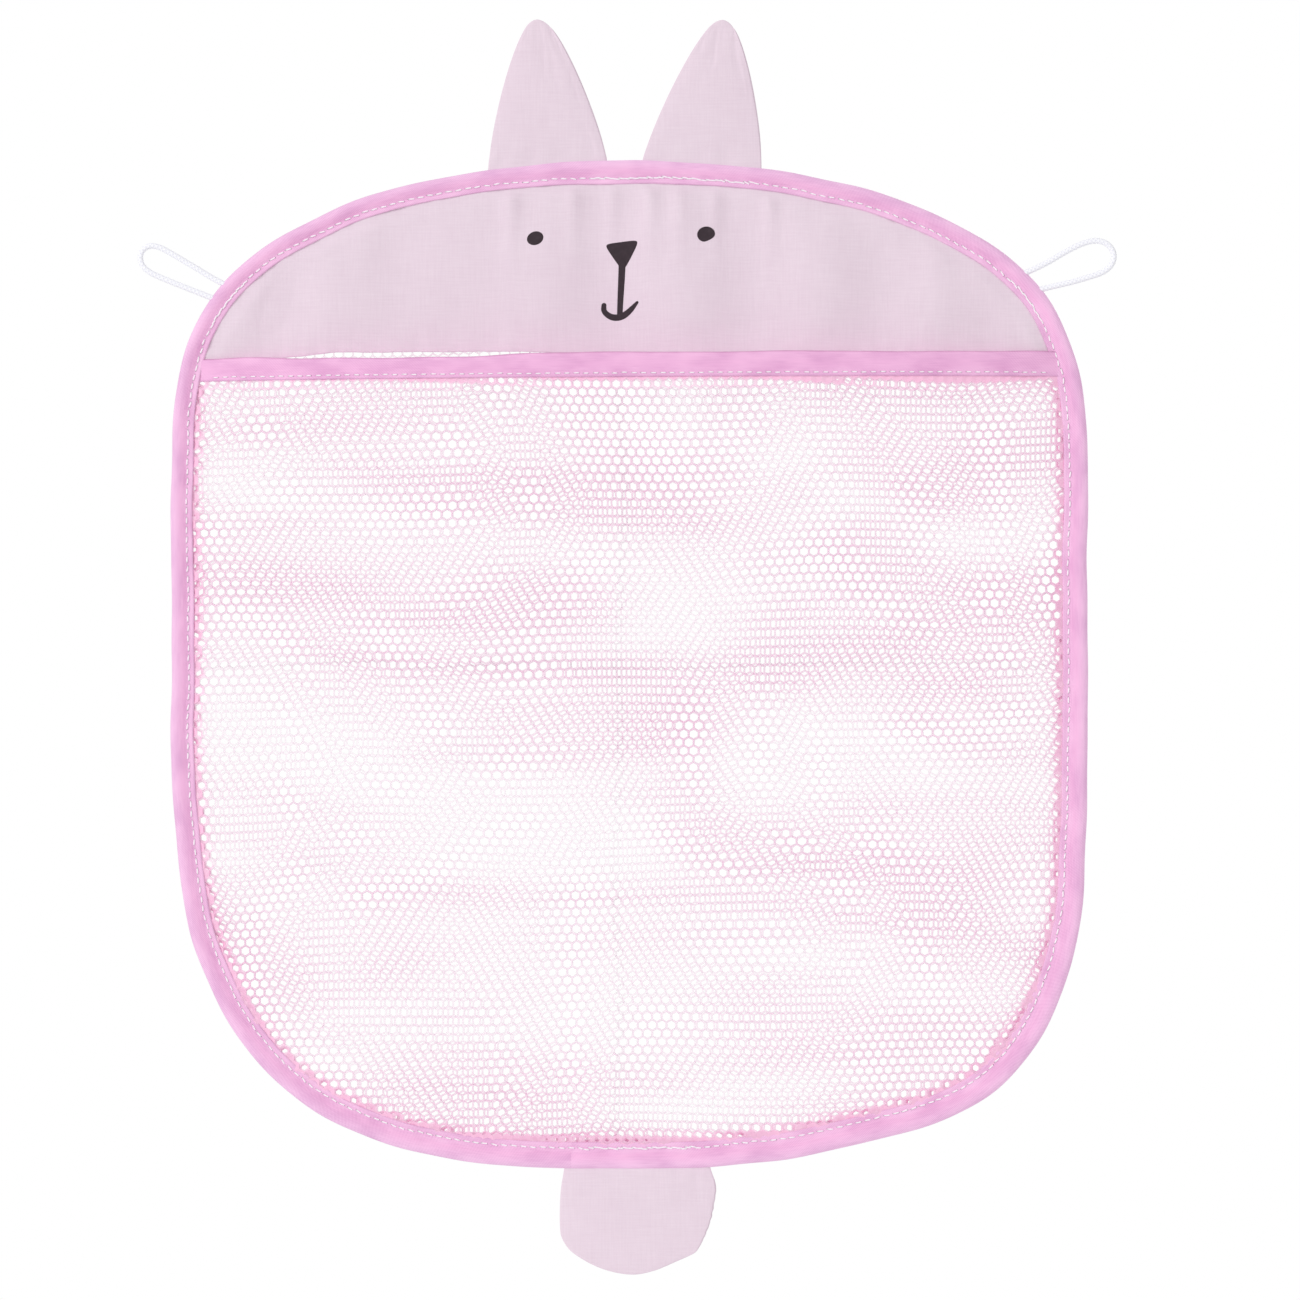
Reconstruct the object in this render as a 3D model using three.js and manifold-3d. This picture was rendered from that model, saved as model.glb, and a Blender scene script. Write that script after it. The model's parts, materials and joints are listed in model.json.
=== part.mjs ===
// Hanging net pocket for bath toys, sewn as a rabbit: two nets and a cloth face bound round the edge with tape,
// with padded ears and tail, and a cord loop at each shoulder.
// Millimetres. X runs across the bag, Y from the front towards the wall, Z up.
import * as THREE from "three";
import { mergeVertices } from "three/addons/utils/BufferGeometryUtils.js";
import Module from "manifold-3d";

const wasm = await Module();
wasm.setup();

// The bag's outer edge: a crown and a base, each half a superellipse, with straight sides between them
const BODY_WIDTH = 328;
const CROWN_HEIGHT = 118;
const SIDE_LENGTH = 75;
const BASE_HEIGHT = 168;
const CROWN_CURVE = { across: 2.05, up: 3.25 };
const BASE_CURVE = { across: 2.6, up: 3.75 };
const ARC_STEPS = 32;

// Stock that the bag is sewn from
const CLOTH_THICKNESS = 0.6;
const TAPE_THICKNESS = 0.6;
const NET_THICKNESS = 0.8;
const CORD_DIAMETER = 2.1;
const LAYER_GAP = 0.3;

// Tape folded over the bag's edge, with its back leaf a little wider than its front leaf
const FRONT_LEAF_WIDTH = 8.6;
const BACK_LEAF_WIDTH = 10.6;
const FOLD_STEPS = 4;

// Net with hexagonal gaps, drawn several times larger than the 3.6 mm gaps of the real yarn
const GAP_PITCH = 29;
const GAP_ROW_PITCH = 24.4;
const STRAND_WIDTH = 3;
const LEAST_GAP_AREA = 90;
const NET_MARGIN = 3;
const FLAT_ANGLE = 1e-6;

// Pocket mouth, measured up from the shoulder line where the crown meets the straight sides
const RIM_TOP = 48;
const RIM_HEIGHT = 8;
const MOUTH_SLIT = 1.2;
const HEM_HEIGHT = 7;
const POCKET_DEPTH = 18;
const POCKET_RISE = 60;
const RIM_STEPS = 28;

// Ears and tail: two cloth faces over a sheet of wadding
const EAR_SPACING = 55.2;
const EAR_WIDTH = 43.3;
const EAR_LENGTH = 52;
const EAR_LEAN = 5.4;
const EAR_TAPER = { along: 1.2, across: 0.65 };
const TAIL_WIDTH = 55.5;
const TAIL_LENGTH = 37.5;
const TAIL_OFFSET = 2.5;
const TAIL_TAPER = { along: 3.4, across: 0.42 };
const WADDING_THICKNESS = 2;
const WADDING_REACH = { across: 0.72, from: 0.14, to: 0.88 };
const FLAP_ROWS = [0, 0.07, 0.14, 0.3, 0.45, 0.6, 0.75, 0.88, 0.95, 0.995];
const FLAP_COLUMNS = [-1, -0.86, -0.72, -0.36, 0, 0.36, 0.72, 0.86, 1];

// Cord loops at the shoulders. Each route starts at the upper strand, goes round the tip and comes back along
// the lower strand, in millimetres from the point of the bag's edge between the two strands.
const LEFT_LOOP_HEIGHT = 72;
const RIGHT_LOOP_HEIGHT = 75;
const HOOK_RISE = 10.2;
const LEFT_LOOP_ROUTE = [
  [4.5, 0.4], [1.1, 2.1], [-2.1, 3.8], [-5.6, 5.9], [-8.7, 7.8], [-11.8, 9.6], [-14.8, 11.4], [-17.9, 13.2],
  [-21.1, 14.8], [-24.1, 15.4], [-26.6, 14.5], [-27.9, 12.5], [-28, 10.3], [-27, 8], [-24.7, 6], [-21.3, 4.3],
  [-17.2, 2.6], [-12.5, 0.7], [-7.8, -1.1], [-4.3, -2.5], [-0.8, -3.9],
];
const RIGHT_LOOP_ROUTE = [
  [-6.2, 1.2], [-2.1, 3], [1.9, 4.8], [5.4, 6.6], [8.3, 8.3], [11.4, 10.1], [15, 12], [18.6, 13.5], [22, 14.2],
  [25.1, 13.8], [27.4, 12.3], [28.7, 10.2], [28.9, 7.9], [28.1, 5.7], [26.4, 3.9], [23.6, 2.4], [19.3, 1],
  [14.1, -0.5], [9, -1.7], [4.3, -2.8], [0.8, -3.6],
];
const CORD_SIDES = 8;
const LOOP_STEPS = 26;

// Layers from the wall forwards, each with its back face's place in Y
const HALF_WIDTH = BODY_WIDTH / 2;
const BACK_NET_BACK = -TAPE_THICKNESS - LAYER_GAP;
const HEM_BACK = BACK_NET_BACK - NET_THICKNESS - LAYER_GAP;
const PANEL_BACK = HEM_BACK - CLOTH_THICKNESS;
const FRONT_LEAF_BACK = PANEL_BACK - CLOTH_THICKNESS - LAYER_GAP;
const BINDING_DEPTH = TAPE_THICKNESS - FRONT_LEAF_BACK;
const FOLD_RADIUS = BINDING_DEPTH / 2;
const MID_LAYER = -FOLD_RADIUS;
const RIM_BACK = HEM_BACK;
const RIM_DEPTH = 2 * TAPE_THICKNESS + 2 * LAYER_GAP + NET_THICKNESS;
const POCKET_LEVEL = RIM_BACK - RIM_DEPTH / 2;
const SEAM_INSET = FOLD_RADIUS + LAYER_GAP;
const POCKET_INSET = FRONT_LEAF_WIDTH + LAYER_GAP;
const RIM_BOTTOM = RIM_TOP - RIM_HEIGHT;
const HEM_LINE = RIM_TOP + MOUTH_SLIT;
const HOOK_HEIGHT = (LEFT_LOOP_HEIGHT + RIGHT_LOOP_HEIGHT) / 2 + HOOK_RISE;

const tape = cloth("#efb9e0", 0.75);
const woven = cloth("#e9d6e2", 0.85);
const yarn = cloth("#f1bddd", 0.7);
const braid = cloth("#f6f5fa", 0.6);
const filling = cloth("#f4f1f2", 0.95);

/** A matte textile finish. */
function cloth(color, roughness) {
  return new THREE.MeshStandardMaterial({ color, roughness, metalness: 0 });
}

/** One half of the bag's edge from right to left, upright, moved in from the outer edge along its normals. */
function halfOutline(height, curve, inset) {
  const points = [];
  for (let i = 0; i <= ARC_STEPS; i++) {
    const angle = (Math.PI * i) / ARC_STEPS;
    const side = Math.sign(Math.cos(angle));
    const u = Math.abs(Math.cos(angle)) ** (2 / curve.across);
    const v = Math.sin(angle) ** (2 / curve.up);
    const normal = new THREE.Vector2(
      (side * curve.across * u ** (curve.across - 1)) / HALF_WIDTH,
      (curve.up * v ** (curve.up - 1)) / height,
    ).normalize();
    points.push(new THREE.Vector2(side * HALF_WIDTH * u, height * v).addScaledVector(normal, -inset));
  }
  return points;
}

/** The bag's closed outline in (x, z), counter-clockwise, moved in from the outer edge by inset. */
function bagOutline(inset) {
  const crown = halfOutline(CROWN_HEIGHT, CROWN_CURVE, inset);
  const base = halfOutline(BASE_HEIGHT, BASE_CURVE, inset);
  return [...crown, ...base.reverse().map((p) => new THREE.Vector2(p.x, -SIDE_LENGTH - p.y))];
}

/** Height of the bag's outer edge above the shoulder line, at x. */
function crownEdge(x) {
  return CROWN_HEIGHT * (1 - Math.abs(x / HALF_WIDTH) ** CROWN_CURVE.across) ** (1 / CROWN_CURVE.up);
}

/** Height of the bag's lower edge, at x. */
function baseEdge(x) {
  const share = (1 - Math.abs(x / HALF_WIDTH) ** BASE_CURVE.across) ** (1 / BASE_CURVE.up);
  return -SIDE_LENGTH - BASE_HEIGHT * share;
}

/** Half of the bag's width at a height above the shoulder line. */
function crownHalfWidth(z) {
  return HALF_WIDTH * (1 - (z / CROWN_HEIGHT) ** CROWN_CURVE.up) ** (1 / CROWN_CURVE.across);
}

/** A closed solid for joins and cuts. */
function toSolid(geometry) {
  const bare = new THREE.BufferGeometry();
  bare.setAttribute("position", geometry.getAttribute("position"));
  bare.setIndex(geometry.index);
  const merged = mergeVertices(bare);
  const triVerts = new Uint32Array(merged.index.array);
  const vertProperties = merged.attributes.position.array;
  return new wasm.Manifold(new wasm.Mesh({ numProp: 3, vertProperties, triVerts }));
}

/** A solid's skin as a geometry. */
function toGeometry(solid) {
  const skin = solid.getMesh();
  const geometry = new THREE.BufferGeometry();
  geometry.setAttribute("position", new THREE.Float32BufferAttribute(skin.vertProperties, 3));
  geometry.setIndex(new THREE.Uint32BufferAttribute(skin.triVerts, 1));
  return geometry;
}

/** A flat sheet of a shape in (x, z), with its back face at y = back. */
function sheet(shape, back, thickness) {
  const flat = new THREE.ExtrudeGeometry(shape, { depth: thickness, bevelEnabled: false });
  return flat.rotateX(Math.PI / 2).translate(0, back, 0);
}

/** A block through the whole bag of an (x, z) outline, to cut other pieces with. */
function cutter(outline) {
  const reach = BINDING_DEPTH + POCKET_DEPTH + WADDING_THICKNESS;
  return toSolid(sheet(new THREE.Shape(outline), reach, 3 * reach));
}

/** The part of a closed outline between two heights, as a closed outline. */
function slice(outline, low, high) {
  const kept = [];
  outline.forEach((a, i) => {
    const b = outline[(i + 1) % outline.length];
    if (a.y >= low && a.y <= high) kept.push(a);
    const crossed = [low, high].filter((z) => (a.y - z) * (b.y - z) < 0);
    crossed.sort((p, q) => Math.abs(p - a.y) - Math.abs(q - a.y));
    for (const z of crossed) kept.push(a.clone().lerp(b, (z - a.y) / (b.y - a.y)));
  });
  return kept;
}

/** Joins rings of points into one closed skin. An endless loft runs on into its first ring; an open one has
 * each end closed by zipping the first half of its ring to the second half. */
function loft(rings, endless) {
  const count = rings[0].length;
  const index = [];
  const quad = (a, b, c, d) => index.push(a, b, c, b, d, c);
  const spans = endless ? rings.length : rings.length - 1;
  for (let ring = 0; ring < spans; ring++) {
    const here = ring * count;
    const next = ((ring + 1) % rings.length) * count;
    for (let i = 0; i < count; i++) {
      const j = (i + 1) % count;
      quad(here + i, here + j, next + i, next + j);
    }
  }
  if (!endless) {
    const last = (rings.length - 1) * count;
    for (let i = 0; i < count / 2 - 1; i++) {
      quad(i + 1, i, count - 2 - i, count - 1 - i);
      quad(last + i, last + i + 1, last + count - 1 - i, last + count - 2 - i);
    }
  }
  const geometry = new THREE.BufferGeometry().setFromPoints(rings.flat()).setIndex(index);
  if (signedVolume(geometry) < 0) geometry.setIndex(index.reverse());
  return geometry;
}

/** Volume of a closed skin, negative where its faces point inwards. */
function signedVolume(geometry) {
  const corners = [new THREE.Vector3(), new THREE.Vector3(), new THREE.Vector3()];
  const position = geometry.getAttribute("position");
  let sum = 0;
  for (let i = 0; i < geometry.index.count; i += 3) {
    corners.forEach((corner, k) => corner.fromBufferAttribute(position, geometry.index.getX(i + k)));
    sum += corners[0].dot(corners[1].cross(corners[2])) / 6;
  }
  return sum;
}

/** Section of a tape folded over an edge, as (distance from the fold, place through the depth) pairs with the
 * front face at 0: the outer skin from the front leaf round the fold to the back leaf, then the inner skin. */
function foldedTape(depth, frontWidth, backWidth) {
  const radius = depth / 2;
  const skin = (thickness) => {
    const arc = [];
    for (let i = 0; i <= FOLD_STEPS; i++) {
      const angle = (Math.PI * i) / FOLD_STEPS;
      const bend = radius - thickness;
      arc.push([radius - bend * Math.sin(angle), radius - bend * Math.cos(angle)]);
    }
    return [[frontWidth, thickness], ...arc, [backWidth, depth - thickness]];
  };
  return [...skin(0), ...skin(TAPE_THICKNESS).reverse()];
}

/** Tape round the whole edge of the bag. */
function edgeBinding() {
  const section = foldedTape(BINDING_DEPTH, FRONT_LEAF_WIDTH, BACK_LEAF_WIDTH);
  const paths = section.map(([inset]) => bagOutline(inset));
  const rings = paths[0].map((_, i) =>
    section.map(([, through], k) => new THREE.Vector3(paths[k][i].x, through - BINDING_DEPTH, paths[k][i].y)),
  );
  return loft(rings, true);
}

const sewnEdge = slice(bagOutline(POCKET_INSET), -SIDE_LENGTH - BASE_HEIGHT, RIM_TOP);

/** Distance from (x, z) to the nearest edge where the pocket is sewn down: its two sides and its bottom. */
function distanceToSeam(x, z) {
  const point = new THREE.Vector3(x, z, 0);
  const nearest = new THREE.Vector3();
  let least = Infinity;
  sewnEdge.forEach((a, i) => {
    const b = sewnEdge[(i + 1) % sewnEdge.length];
    if (a.y === RIM_TOP && b.y === RIM_TOP) return;
    const stretch = new THREE.Line3(new THREE.Vector3(a.x, a.y, 0), new THREE.Vector3(b.x, b.y, 0));
    stretch.closestPointToPoint(point, true, nearest);
    least = Math.min(least, nearest.distanceTo(point));
  });
  return least;
}

/** How far the pocket's net stands forward of its seam. It stands upright inside the folded rim. */
function pocketBulge(x, z) {
  return POCKET_DEPTH * (1 - Math.exp(-distanceToSeam(x, Math.min(z, RIM_BOTTOM)) / POCKET_RISE));
}

/** The part of a convex outline that lies inside another one, both counter-clockwise. */
function clip(outline, border) {
  return border.reduce((kept, a, i) => {
    const b = border[(i + 1) % border.length];
    const offset = (p) => (b.x - a.x) * (p.y - a.y) - (b.y - a.y) * (p.x - a.x);
    return kept.flatMap((p, k) => {
      const q = kept[(k + 1) % kept.length];
      const here = offset(p);
      const there = offset(q);
      const crossing = here * there < 0 ? [p.clone().lerp(q, here / (here - there))] : [];
      return here >= 0 ? [p, ...crossing] : crossing;
    });
  }, outline);
}

/** An outline with its long edges cut into equal steps. */
function subdivide(outline, longest) {
  return outline.flatMap((a, i) => {
    const b = outline[(i + 1) % outline.length];
    const count = Math.ceil(a.distanceTo(b) / longest);
    return Array.from({ length: count }, (_, k) => a.clone().lerp(b, k / count));
  });
}

/** Outline of one hexagonal gap, standing on a corner. */
function hexagon(x, z) {
  const radius = (GAP_PITCH - STRAND_WIDTH) / Math.sqrt(3);
  const squash = GAP_ROW_PITCH / (GAP_PITCH * Math.sin(Math.PI / 3));
  return Array.from({ length: 6 }, (_, k) => {
    const angle = Math.PI / 2 + (k * Math.PI) / 3;
    return new THREE.Vector2(x + radius * Math.cos(angle), z + squash * radius * Math.sin(angle));
  });
}

/** Outlines of a net's gaps, in staggered rows, cut off along the net's margin. */
function gapOutlines(border) {
  const bounds = new THREE.Box2().setFromPoints(border);
  const rows = Math.ceil((bounds.max.y - bounds.min.y) / GAP_ROW_PITCH);
  const columns = Math.ceil(bounds.max.x / GAP_PITCH);
  const gaps = [];
  for (let row = 0; row <= rows; row++) {
    for (let column = -columns; column <= columns; column++) {
      const x = (column + (row % 2) / 2) * GAP_PITCH;
      const z = bounds.min.y + (row + 0.5) * GAP_ROW_PITCH;
      const gap = clip(hexagon(x, z), border);
      if (THREE.ShapeUtils.area(gap) > LEAST_GAP_AREA) gaps.push(gap.reverse());
    }
  }
  return gaps;
}

/** Turns the edge between two triangles wherever the corners facing it are wide, so that no triangle is longer
 * than its corners need. */
function evenOut(points, faces) {
  const leg = (tip, end) => points[end].clone().sub(points[tip]);
  const corner = (tip, a, b) => leg(tip, a).angleTo(leg(tip, b));
  let turned = true;
  while (turned) {
    turned = false;
    const facing = new Map();
    faces.forEach((face, f) =>
      face.forEach((a, k) => facing.set(`${a} ${face[(k + 1) % 3]}`, { f, tip: face[(k + 2) % 3] })),
    );
    const done = new Set();
    for (const [edge, one] of facing) {
      const [a, b] = edge.split(" ").map(Number);
      const two = facing.get(`${b} ${a}`);
      if (!two || done.has(one.f) || done.has(two.f)) continue;
      if (corner(one.tip, a, b) + corner(two.tip, a, b) < Math.PI + FLAT_ANGLE) continue;
      faces[one.f] = [one.tip, a, two.tip];
      faces[two.f] = [two.tip, b, one.tip];
      done.add(one.f).add(two.f);
      turned = true;
    }
  }
  return faces;
}

/** A net with its back face at y = back, moved forward at each point by bow(x, z). */
function net(outline, border, back, bow) {
  const loops = [outline, ...gapOutlines(border)];
  const points = loops.flat();
  const triangles = THREE.ShapeUtils.triangulateShape(outline, loops.slice(1));
  const count = points.length;
  const index = evenOut(points, triangles).flatMap(([a, b, c]) => [a, b, c, a + count, c + count, b + count]);
  let first = 0;
  for (const loop of loops) {
    for (let i = 0; i < loop.length; i++) {
      const here = first + i;
      const next = first + ((i + 1) % loop.length);
      index.push(next, here, next + count, here, here + count, next + count);
    }
    first += loop.length;
  }
  const layer = (y) => points.map((p) => new THREE.Vector3(p.x, y - bow(p.x, p.y), p.y));
  return new THREE.BufferGeometry().setFromPoints([...layer(back - NET_THICKNESS), ...layer(back)]).setIndex(index);
}

/** Net behind the whole bag, caught in the tape all round. */
function backNet() {
  return net(bagOutline(SEAM_INSET), bagOutline(BACK_LEAF_WIDTH + NET_MARGIN), BACK_NET_BACK, () => 0);
}

/** Net of the pocket's front, sewn at its sides and bottom and standing forward between them. */
function pocketNet() {
  const bottom = -SIDE_LENGTH - BASE_HEIGHT;
  const top = RIM_TOP - RIM_DEPTH / 2;
  const outline = subdivide(slice(bagOutline(POCKET_INSET), bottom, top), BODY_WIDTH / RIM_STEPS);
  const border = slice(bagOutline(POCKET_INSET + NET_MARGIN), bottom, RIM_BOTTOM - NET_MARGIN);
  return net(outline, border, POCKET_LEVEL + NET_THICKNESS / 2, pocketBulge);
}

/** Tape folded over the top of the pocket's net, following its bow and cut off along the edge binding. */
function pocketRim() {
  const section = foldedTape(RIM_DEPTH, RIM_HEIGHT, RIM_HEIGHT);
  const reach = crownHalfWidth(RIM_BOTTOM);
  const bow = [];
  for (let i = 0; i <= RIM_STEPS; i++) {
    const x = reach * Math.sin(((i / RIM_STEPS) * 2 - 1) * (Math.PI / 2));
    bow.push(new THREE.Vector3(x, POCKET_LEVEL - pocketBulge(x, RIM_BOTTOM), RIM_TOP));
  }
  const rings = bow.map((centre) =>
    section.map(
      ([drop, through]) => new THREE.Vector3(centre.x, centre.y + through - RIM_DEPTH / 2, centre.z - drop),
    ),
  );
  return toGeometry(toSolid(loft(rings, false)).intersect(cutter(bagOutline(POCKET_INSET))));
}

/** Cloth face above the pocket, with a turned hem along its lower edge. */
function facePanel() {
  const outline = bagOutline(SEAM_INSET);
  const face = new THREE.Shape(slice(outline, HEM_LINE, CROWN_HEIGHT));
  const hem = new THREE.Shape(slice(outline, HEM_LINE, HEM_LINE + HEM_HEIGHT));
  const panel = toSolid(sheet(face, PANEL_BACK, CLOTH_THICKNESS));
  return toGeometry(panel.add(toSolid(sheet(hem, HEM_BACK, 2 * CLOTH_THICKNESS))));
}

/** Place of a flap's point in (x, z): across runs from -1 to 1 and along from the bag's edge to the tip. */
function flapPoint(flap, across, along) {
  const half = flap.width / 2;
  const taper = (1 - along ** flap.taper.along) ** flap.taper.across;
  const root = flap.edge(flap.centre + across * half) + flap.way * LAYER_GAP;
  const tip = flap.edge(flap.centre) + flap.way * flap.length;
  const x = flap.centre + flap.lean * along + across * half * taper;
  return new THREE.Vector2(x, THREE.MathUtils.lerp(root, tip, along));
}

/** Rings of a flap's layer between two heights off its middle, over a range of rows and columns. */
function flapLayer(flap, rows, columns, outer, inner) {
  return rows.map((along) => {
    const point = (across, height) => {
      const place = flapPoint(flap, across, along);
      return new THREE.Vector3(place.x, MID_LAYER + height, place.y);
    };
    const outside = columns.map((across) => point(across, outer(across, along)));
    const inside = columns.map((across) => point(across, inner(across, along)));
    return [...outside, ...inside.reverse()];
  });
}

/** Height of a flap's cloth off its middle: it lies over the wadding and comes together at the seams. */
function clothRise(across, along) {
  const ramp = (share) => Math.sin((Math.min(1, Math.max(0, share)) * Math.PI) / 2);
  const sides = ramp((1 - Math.abs(across)) / (1 - WADDING_REACH.across));
  const ends = ramp(along / WADDING_REACH.from) * ramp((1 - along) / (1 - WADDING_REACH.to));
  return LAYER_GAP / 2 + (WADDING_THICKNESS / 2 + LAYER_GAP / 2) * sides * ends;
}

/** The three pieces of a flap: front cloth, wadding and back cloth. */
function flapPieces(name, flap) {
  const inside = (value, low, high) => value >= low && value <= high;
  const rows = FLAP_ROWS.filter((along) => inside(along, WADDING_REACH.from, WADDING_REACH.to));
  const columns = FLAP_COLUMNS.filter((across) => inside(Math.abs(across), 0, WADDING_REACH.across));
  const half = () => WADDING_THICKNESS / 2;
  const under = (across, along) => clothRise(across, along);
  const over = (across, along) => clothRise(across, along) + CLOTH_THICKNESS;
  const front = flapLayer(flap, FLAP_ROWS, FLAP_COLUMNS, (a, t) => -over(a, t), (a, t) => -under(a, t));
  const back = flapLayer(flap, FLAP_ROWS, FLAP_COLUMNS, over, under);
  const wadding = flapLayer(flap, rows, columns, () => -half(), half);
  return [
    piece(`${name}_front`, loft(front, false), woven),
    piece(`${name}_wadding`, loft(wadding, false), filling),
    piece(`${name}_back`, loft(back, false), woven),
  ];
}

/** An ear on one side of the crown, -1 left and 1 right. */
function ear(name, side) {
  const centre = (side * EAR_SPACING) / 2;
  const lean = side * EAR_LEAN;
  const size = { width: EAR_WIDTH, length: EAR_LENGTH, taper: EAR_TAPER };
  return flapPieces(name, { centre, lean, way: 1, edge: crownEdge, ...size });
}

/** The tail under the base. */
function tail() {
  const size = { width: TAIL_WIDTH, length: TAIL_LENGTH, taper: TAIL_TAPER };
  return flapPieces("tail", { centre: TAIL_OFFSET, lean: 0, way: -1, edge: baseEdge, ...size });
}

/** A cord loop on one shoulder, -1 left and 1 right, cut off clear of the tape's fold. */
function cordLoop(name, side, height, route) {
  const exit = new THREE.Vector3(side * crownHalfWidth(height), MID_LAYER, height);
  const points = route.map(([x, z]) => new THREE.Vector3(x, 0, z).add(exit));
  const extrudePath = new THREE.CatmullRomCurve3(points);
  const section = new THREE.Shape();
  section.absarc(0, 0, CORD_DIAMETER / 2, 0, 2 * Math.PI);
  const settings = { extrudePath, steps: LOOP_STEPS, curveSegments: CORD_SIDES / 2, bevelEnabled: false };
  const tube = toSolid(new THREE.ExtrudeGeometry(section, settings));
  return piece(name, toGeometry(tube.subtract(cutter(bagOutline(-LAYER_GAP)))), braid);
}

/** A named piece of the bag. */
function piece(name, geometry, material) {
  const mesh = new THREE.Mesh(geometry, material);
  mesh.name = name;
  return mesh;
}

const bag = new THREE.Group();
bag.add(
  piece("back_net", backNet(), yarn),
  piece("face_panel", facePanel(), woven),
  piece("edge_binding", edgeBinding(), tape),
  piece("pocket_net", pocketNet(), yarn),
  piece("pocket_rim", pocketRim(), tape),
  ...ear("left_ear", -1),
  ...ear("right_ear", 1),
  ...tail(),
  cordLoop("left_loop", -1, LEFT_LOOP_HEIGHT, LEFT_LOOP_ROUTE),
  cordLoop("right_loop", 1, RIGHT_LOOP_HEIGHT, RIGHT_LOOP_ROUTE),
);

// The part's origin is on the wall, level with the hooks that hold the loops
bag.position.z = -HOOK_HEIGHT;

const part = new THREE.Group();
part.add(bag);

export default part;
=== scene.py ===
"""Hanging net pocket for bath toys, sewn as a rabbit: nets, cloth, tape, stitches, padding and cord loops.

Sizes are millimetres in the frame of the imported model: x across the bag, y from the front towards the wall
and z up from the hooks. They become metres when a mesh is made.
"""

import json
import logging
import math
from collections.abc import Callable
from dataclasses import dataclass, field
from enum import Enum

import bpy
import numpy as np
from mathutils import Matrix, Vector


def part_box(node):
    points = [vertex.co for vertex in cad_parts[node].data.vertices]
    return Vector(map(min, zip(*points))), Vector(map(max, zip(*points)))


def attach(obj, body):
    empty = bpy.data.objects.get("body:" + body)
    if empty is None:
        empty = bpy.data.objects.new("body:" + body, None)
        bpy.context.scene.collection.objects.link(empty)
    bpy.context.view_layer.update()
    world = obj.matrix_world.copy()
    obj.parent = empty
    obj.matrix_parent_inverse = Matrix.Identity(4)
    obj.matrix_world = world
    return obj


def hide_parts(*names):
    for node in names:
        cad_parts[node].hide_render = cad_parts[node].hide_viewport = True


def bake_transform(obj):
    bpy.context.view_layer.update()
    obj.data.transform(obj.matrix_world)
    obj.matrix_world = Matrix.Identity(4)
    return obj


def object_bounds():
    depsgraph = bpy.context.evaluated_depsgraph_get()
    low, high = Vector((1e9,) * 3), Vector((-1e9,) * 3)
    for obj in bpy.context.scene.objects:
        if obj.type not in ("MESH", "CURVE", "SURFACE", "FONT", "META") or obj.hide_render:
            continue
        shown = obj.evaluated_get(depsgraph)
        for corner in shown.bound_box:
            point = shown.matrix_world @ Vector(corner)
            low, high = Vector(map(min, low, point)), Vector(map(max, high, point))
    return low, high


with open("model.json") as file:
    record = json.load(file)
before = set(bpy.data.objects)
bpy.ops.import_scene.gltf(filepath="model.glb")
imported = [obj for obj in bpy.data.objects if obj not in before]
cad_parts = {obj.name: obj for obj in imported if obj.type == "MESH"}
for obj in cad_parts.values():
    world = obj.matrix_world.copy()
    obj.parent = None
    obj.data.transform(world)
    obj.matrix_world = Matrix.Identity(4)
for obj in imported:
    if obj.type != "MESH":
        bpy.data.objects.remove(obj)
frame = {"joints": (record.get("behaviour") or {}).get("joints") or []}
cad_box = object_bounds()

LOG = logging.getLogger("bath_toy_organizer")
MM = 0.001
SEAM_MIDDLE = -2.05
CURVE_STEPS = 40
OUTLINE_STEPS = 3000
UNDER_SHARE = 1.2

Array = np.ndarray
Colour = tuple[int, int, int]
Pair = tuple[float, float]
Route = tuple[Pair, ...]
Material = bpy.types.Material
Piece = bpy.types.Object
Socket = bpy.types.NodeSocket


class Side(Enum):
    """A side of the bag, as the sign of x there."""

    LEFT = -1
    RIGHT = 1


class Face(Enum):
    """The side of a sewn layer that looks away from the wall or towards it, as the sign of y there."""

    FRONT = -1
    BACK = 1


def smooth_step(share: Array) -> Array:
    """Ease from 0 to 1 with level ends: 3 s^2 - 2 s^3 of the share s, held between 0 and 1."""
    s = np.clip(share, 0.0, 1.0)
    return s * s * (3.0 - 2.0 * s)


def bell(distance: Array, reach: float) -> Array:
    """Bell curve of height 1 at no distance: exp(-(distance / reach)^2)."""
    return np.exp(-((distance / reach) ** 2))


def length_so_far(line: Array) -> Array:
    """Distance along a line from its first point to each of its points."""
    return np.concatenate([[0.0], np.cumsum(np.linalg.norm(np.diff(line, axis=0), axis=1))])


def unit(vectors: Array) -> Array:
    """Vectors, one a row, scaled to length 1."""
    return vectors / np.linalg.norm(vectors, axis=1, keepdims=True)


def catmull_rom(points: Array, step: float) -> Array:
    """Smooth curve through points: each stretch is a cubic with end slopes of half the chord past its ends.

    Args:
        points: the points in order, one a row.
        step: the distance between points of the curve.

    Returns:
        Points of the curve, evenly spaced.
    """
    ends = np.vstack([2 * points[0] - points[1], points, 2 * points[-1] - points[-2]])
    p0, p1, p2, p3 = (ends[k : len(ends) - 3 + k, None] for k in range(4))
    t = np.linspace(0.0, 1.0, CURVE_STEPS, endpoint=False)[None, :, None]
    square = 2 * p0 - 5 * p1 + 4 * p2 - p3
    cube = 3 * p1 - p0 - 3 * p2 + p3
    bend = 2 * p1 + (p2 - p0) * t + square * t**2 + cube * t**3
    line = np.vstack([(bend / 2).reshape(-1, points.shape[1]), points[-1:]])
    along = length_so_far(line)
    at = np.linspace(0.0, along[-1], int(along[-1] / step) + 1)
    return np.stack([np.interp(at, along, axis) for axis in line.T], axis=1)


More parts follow.
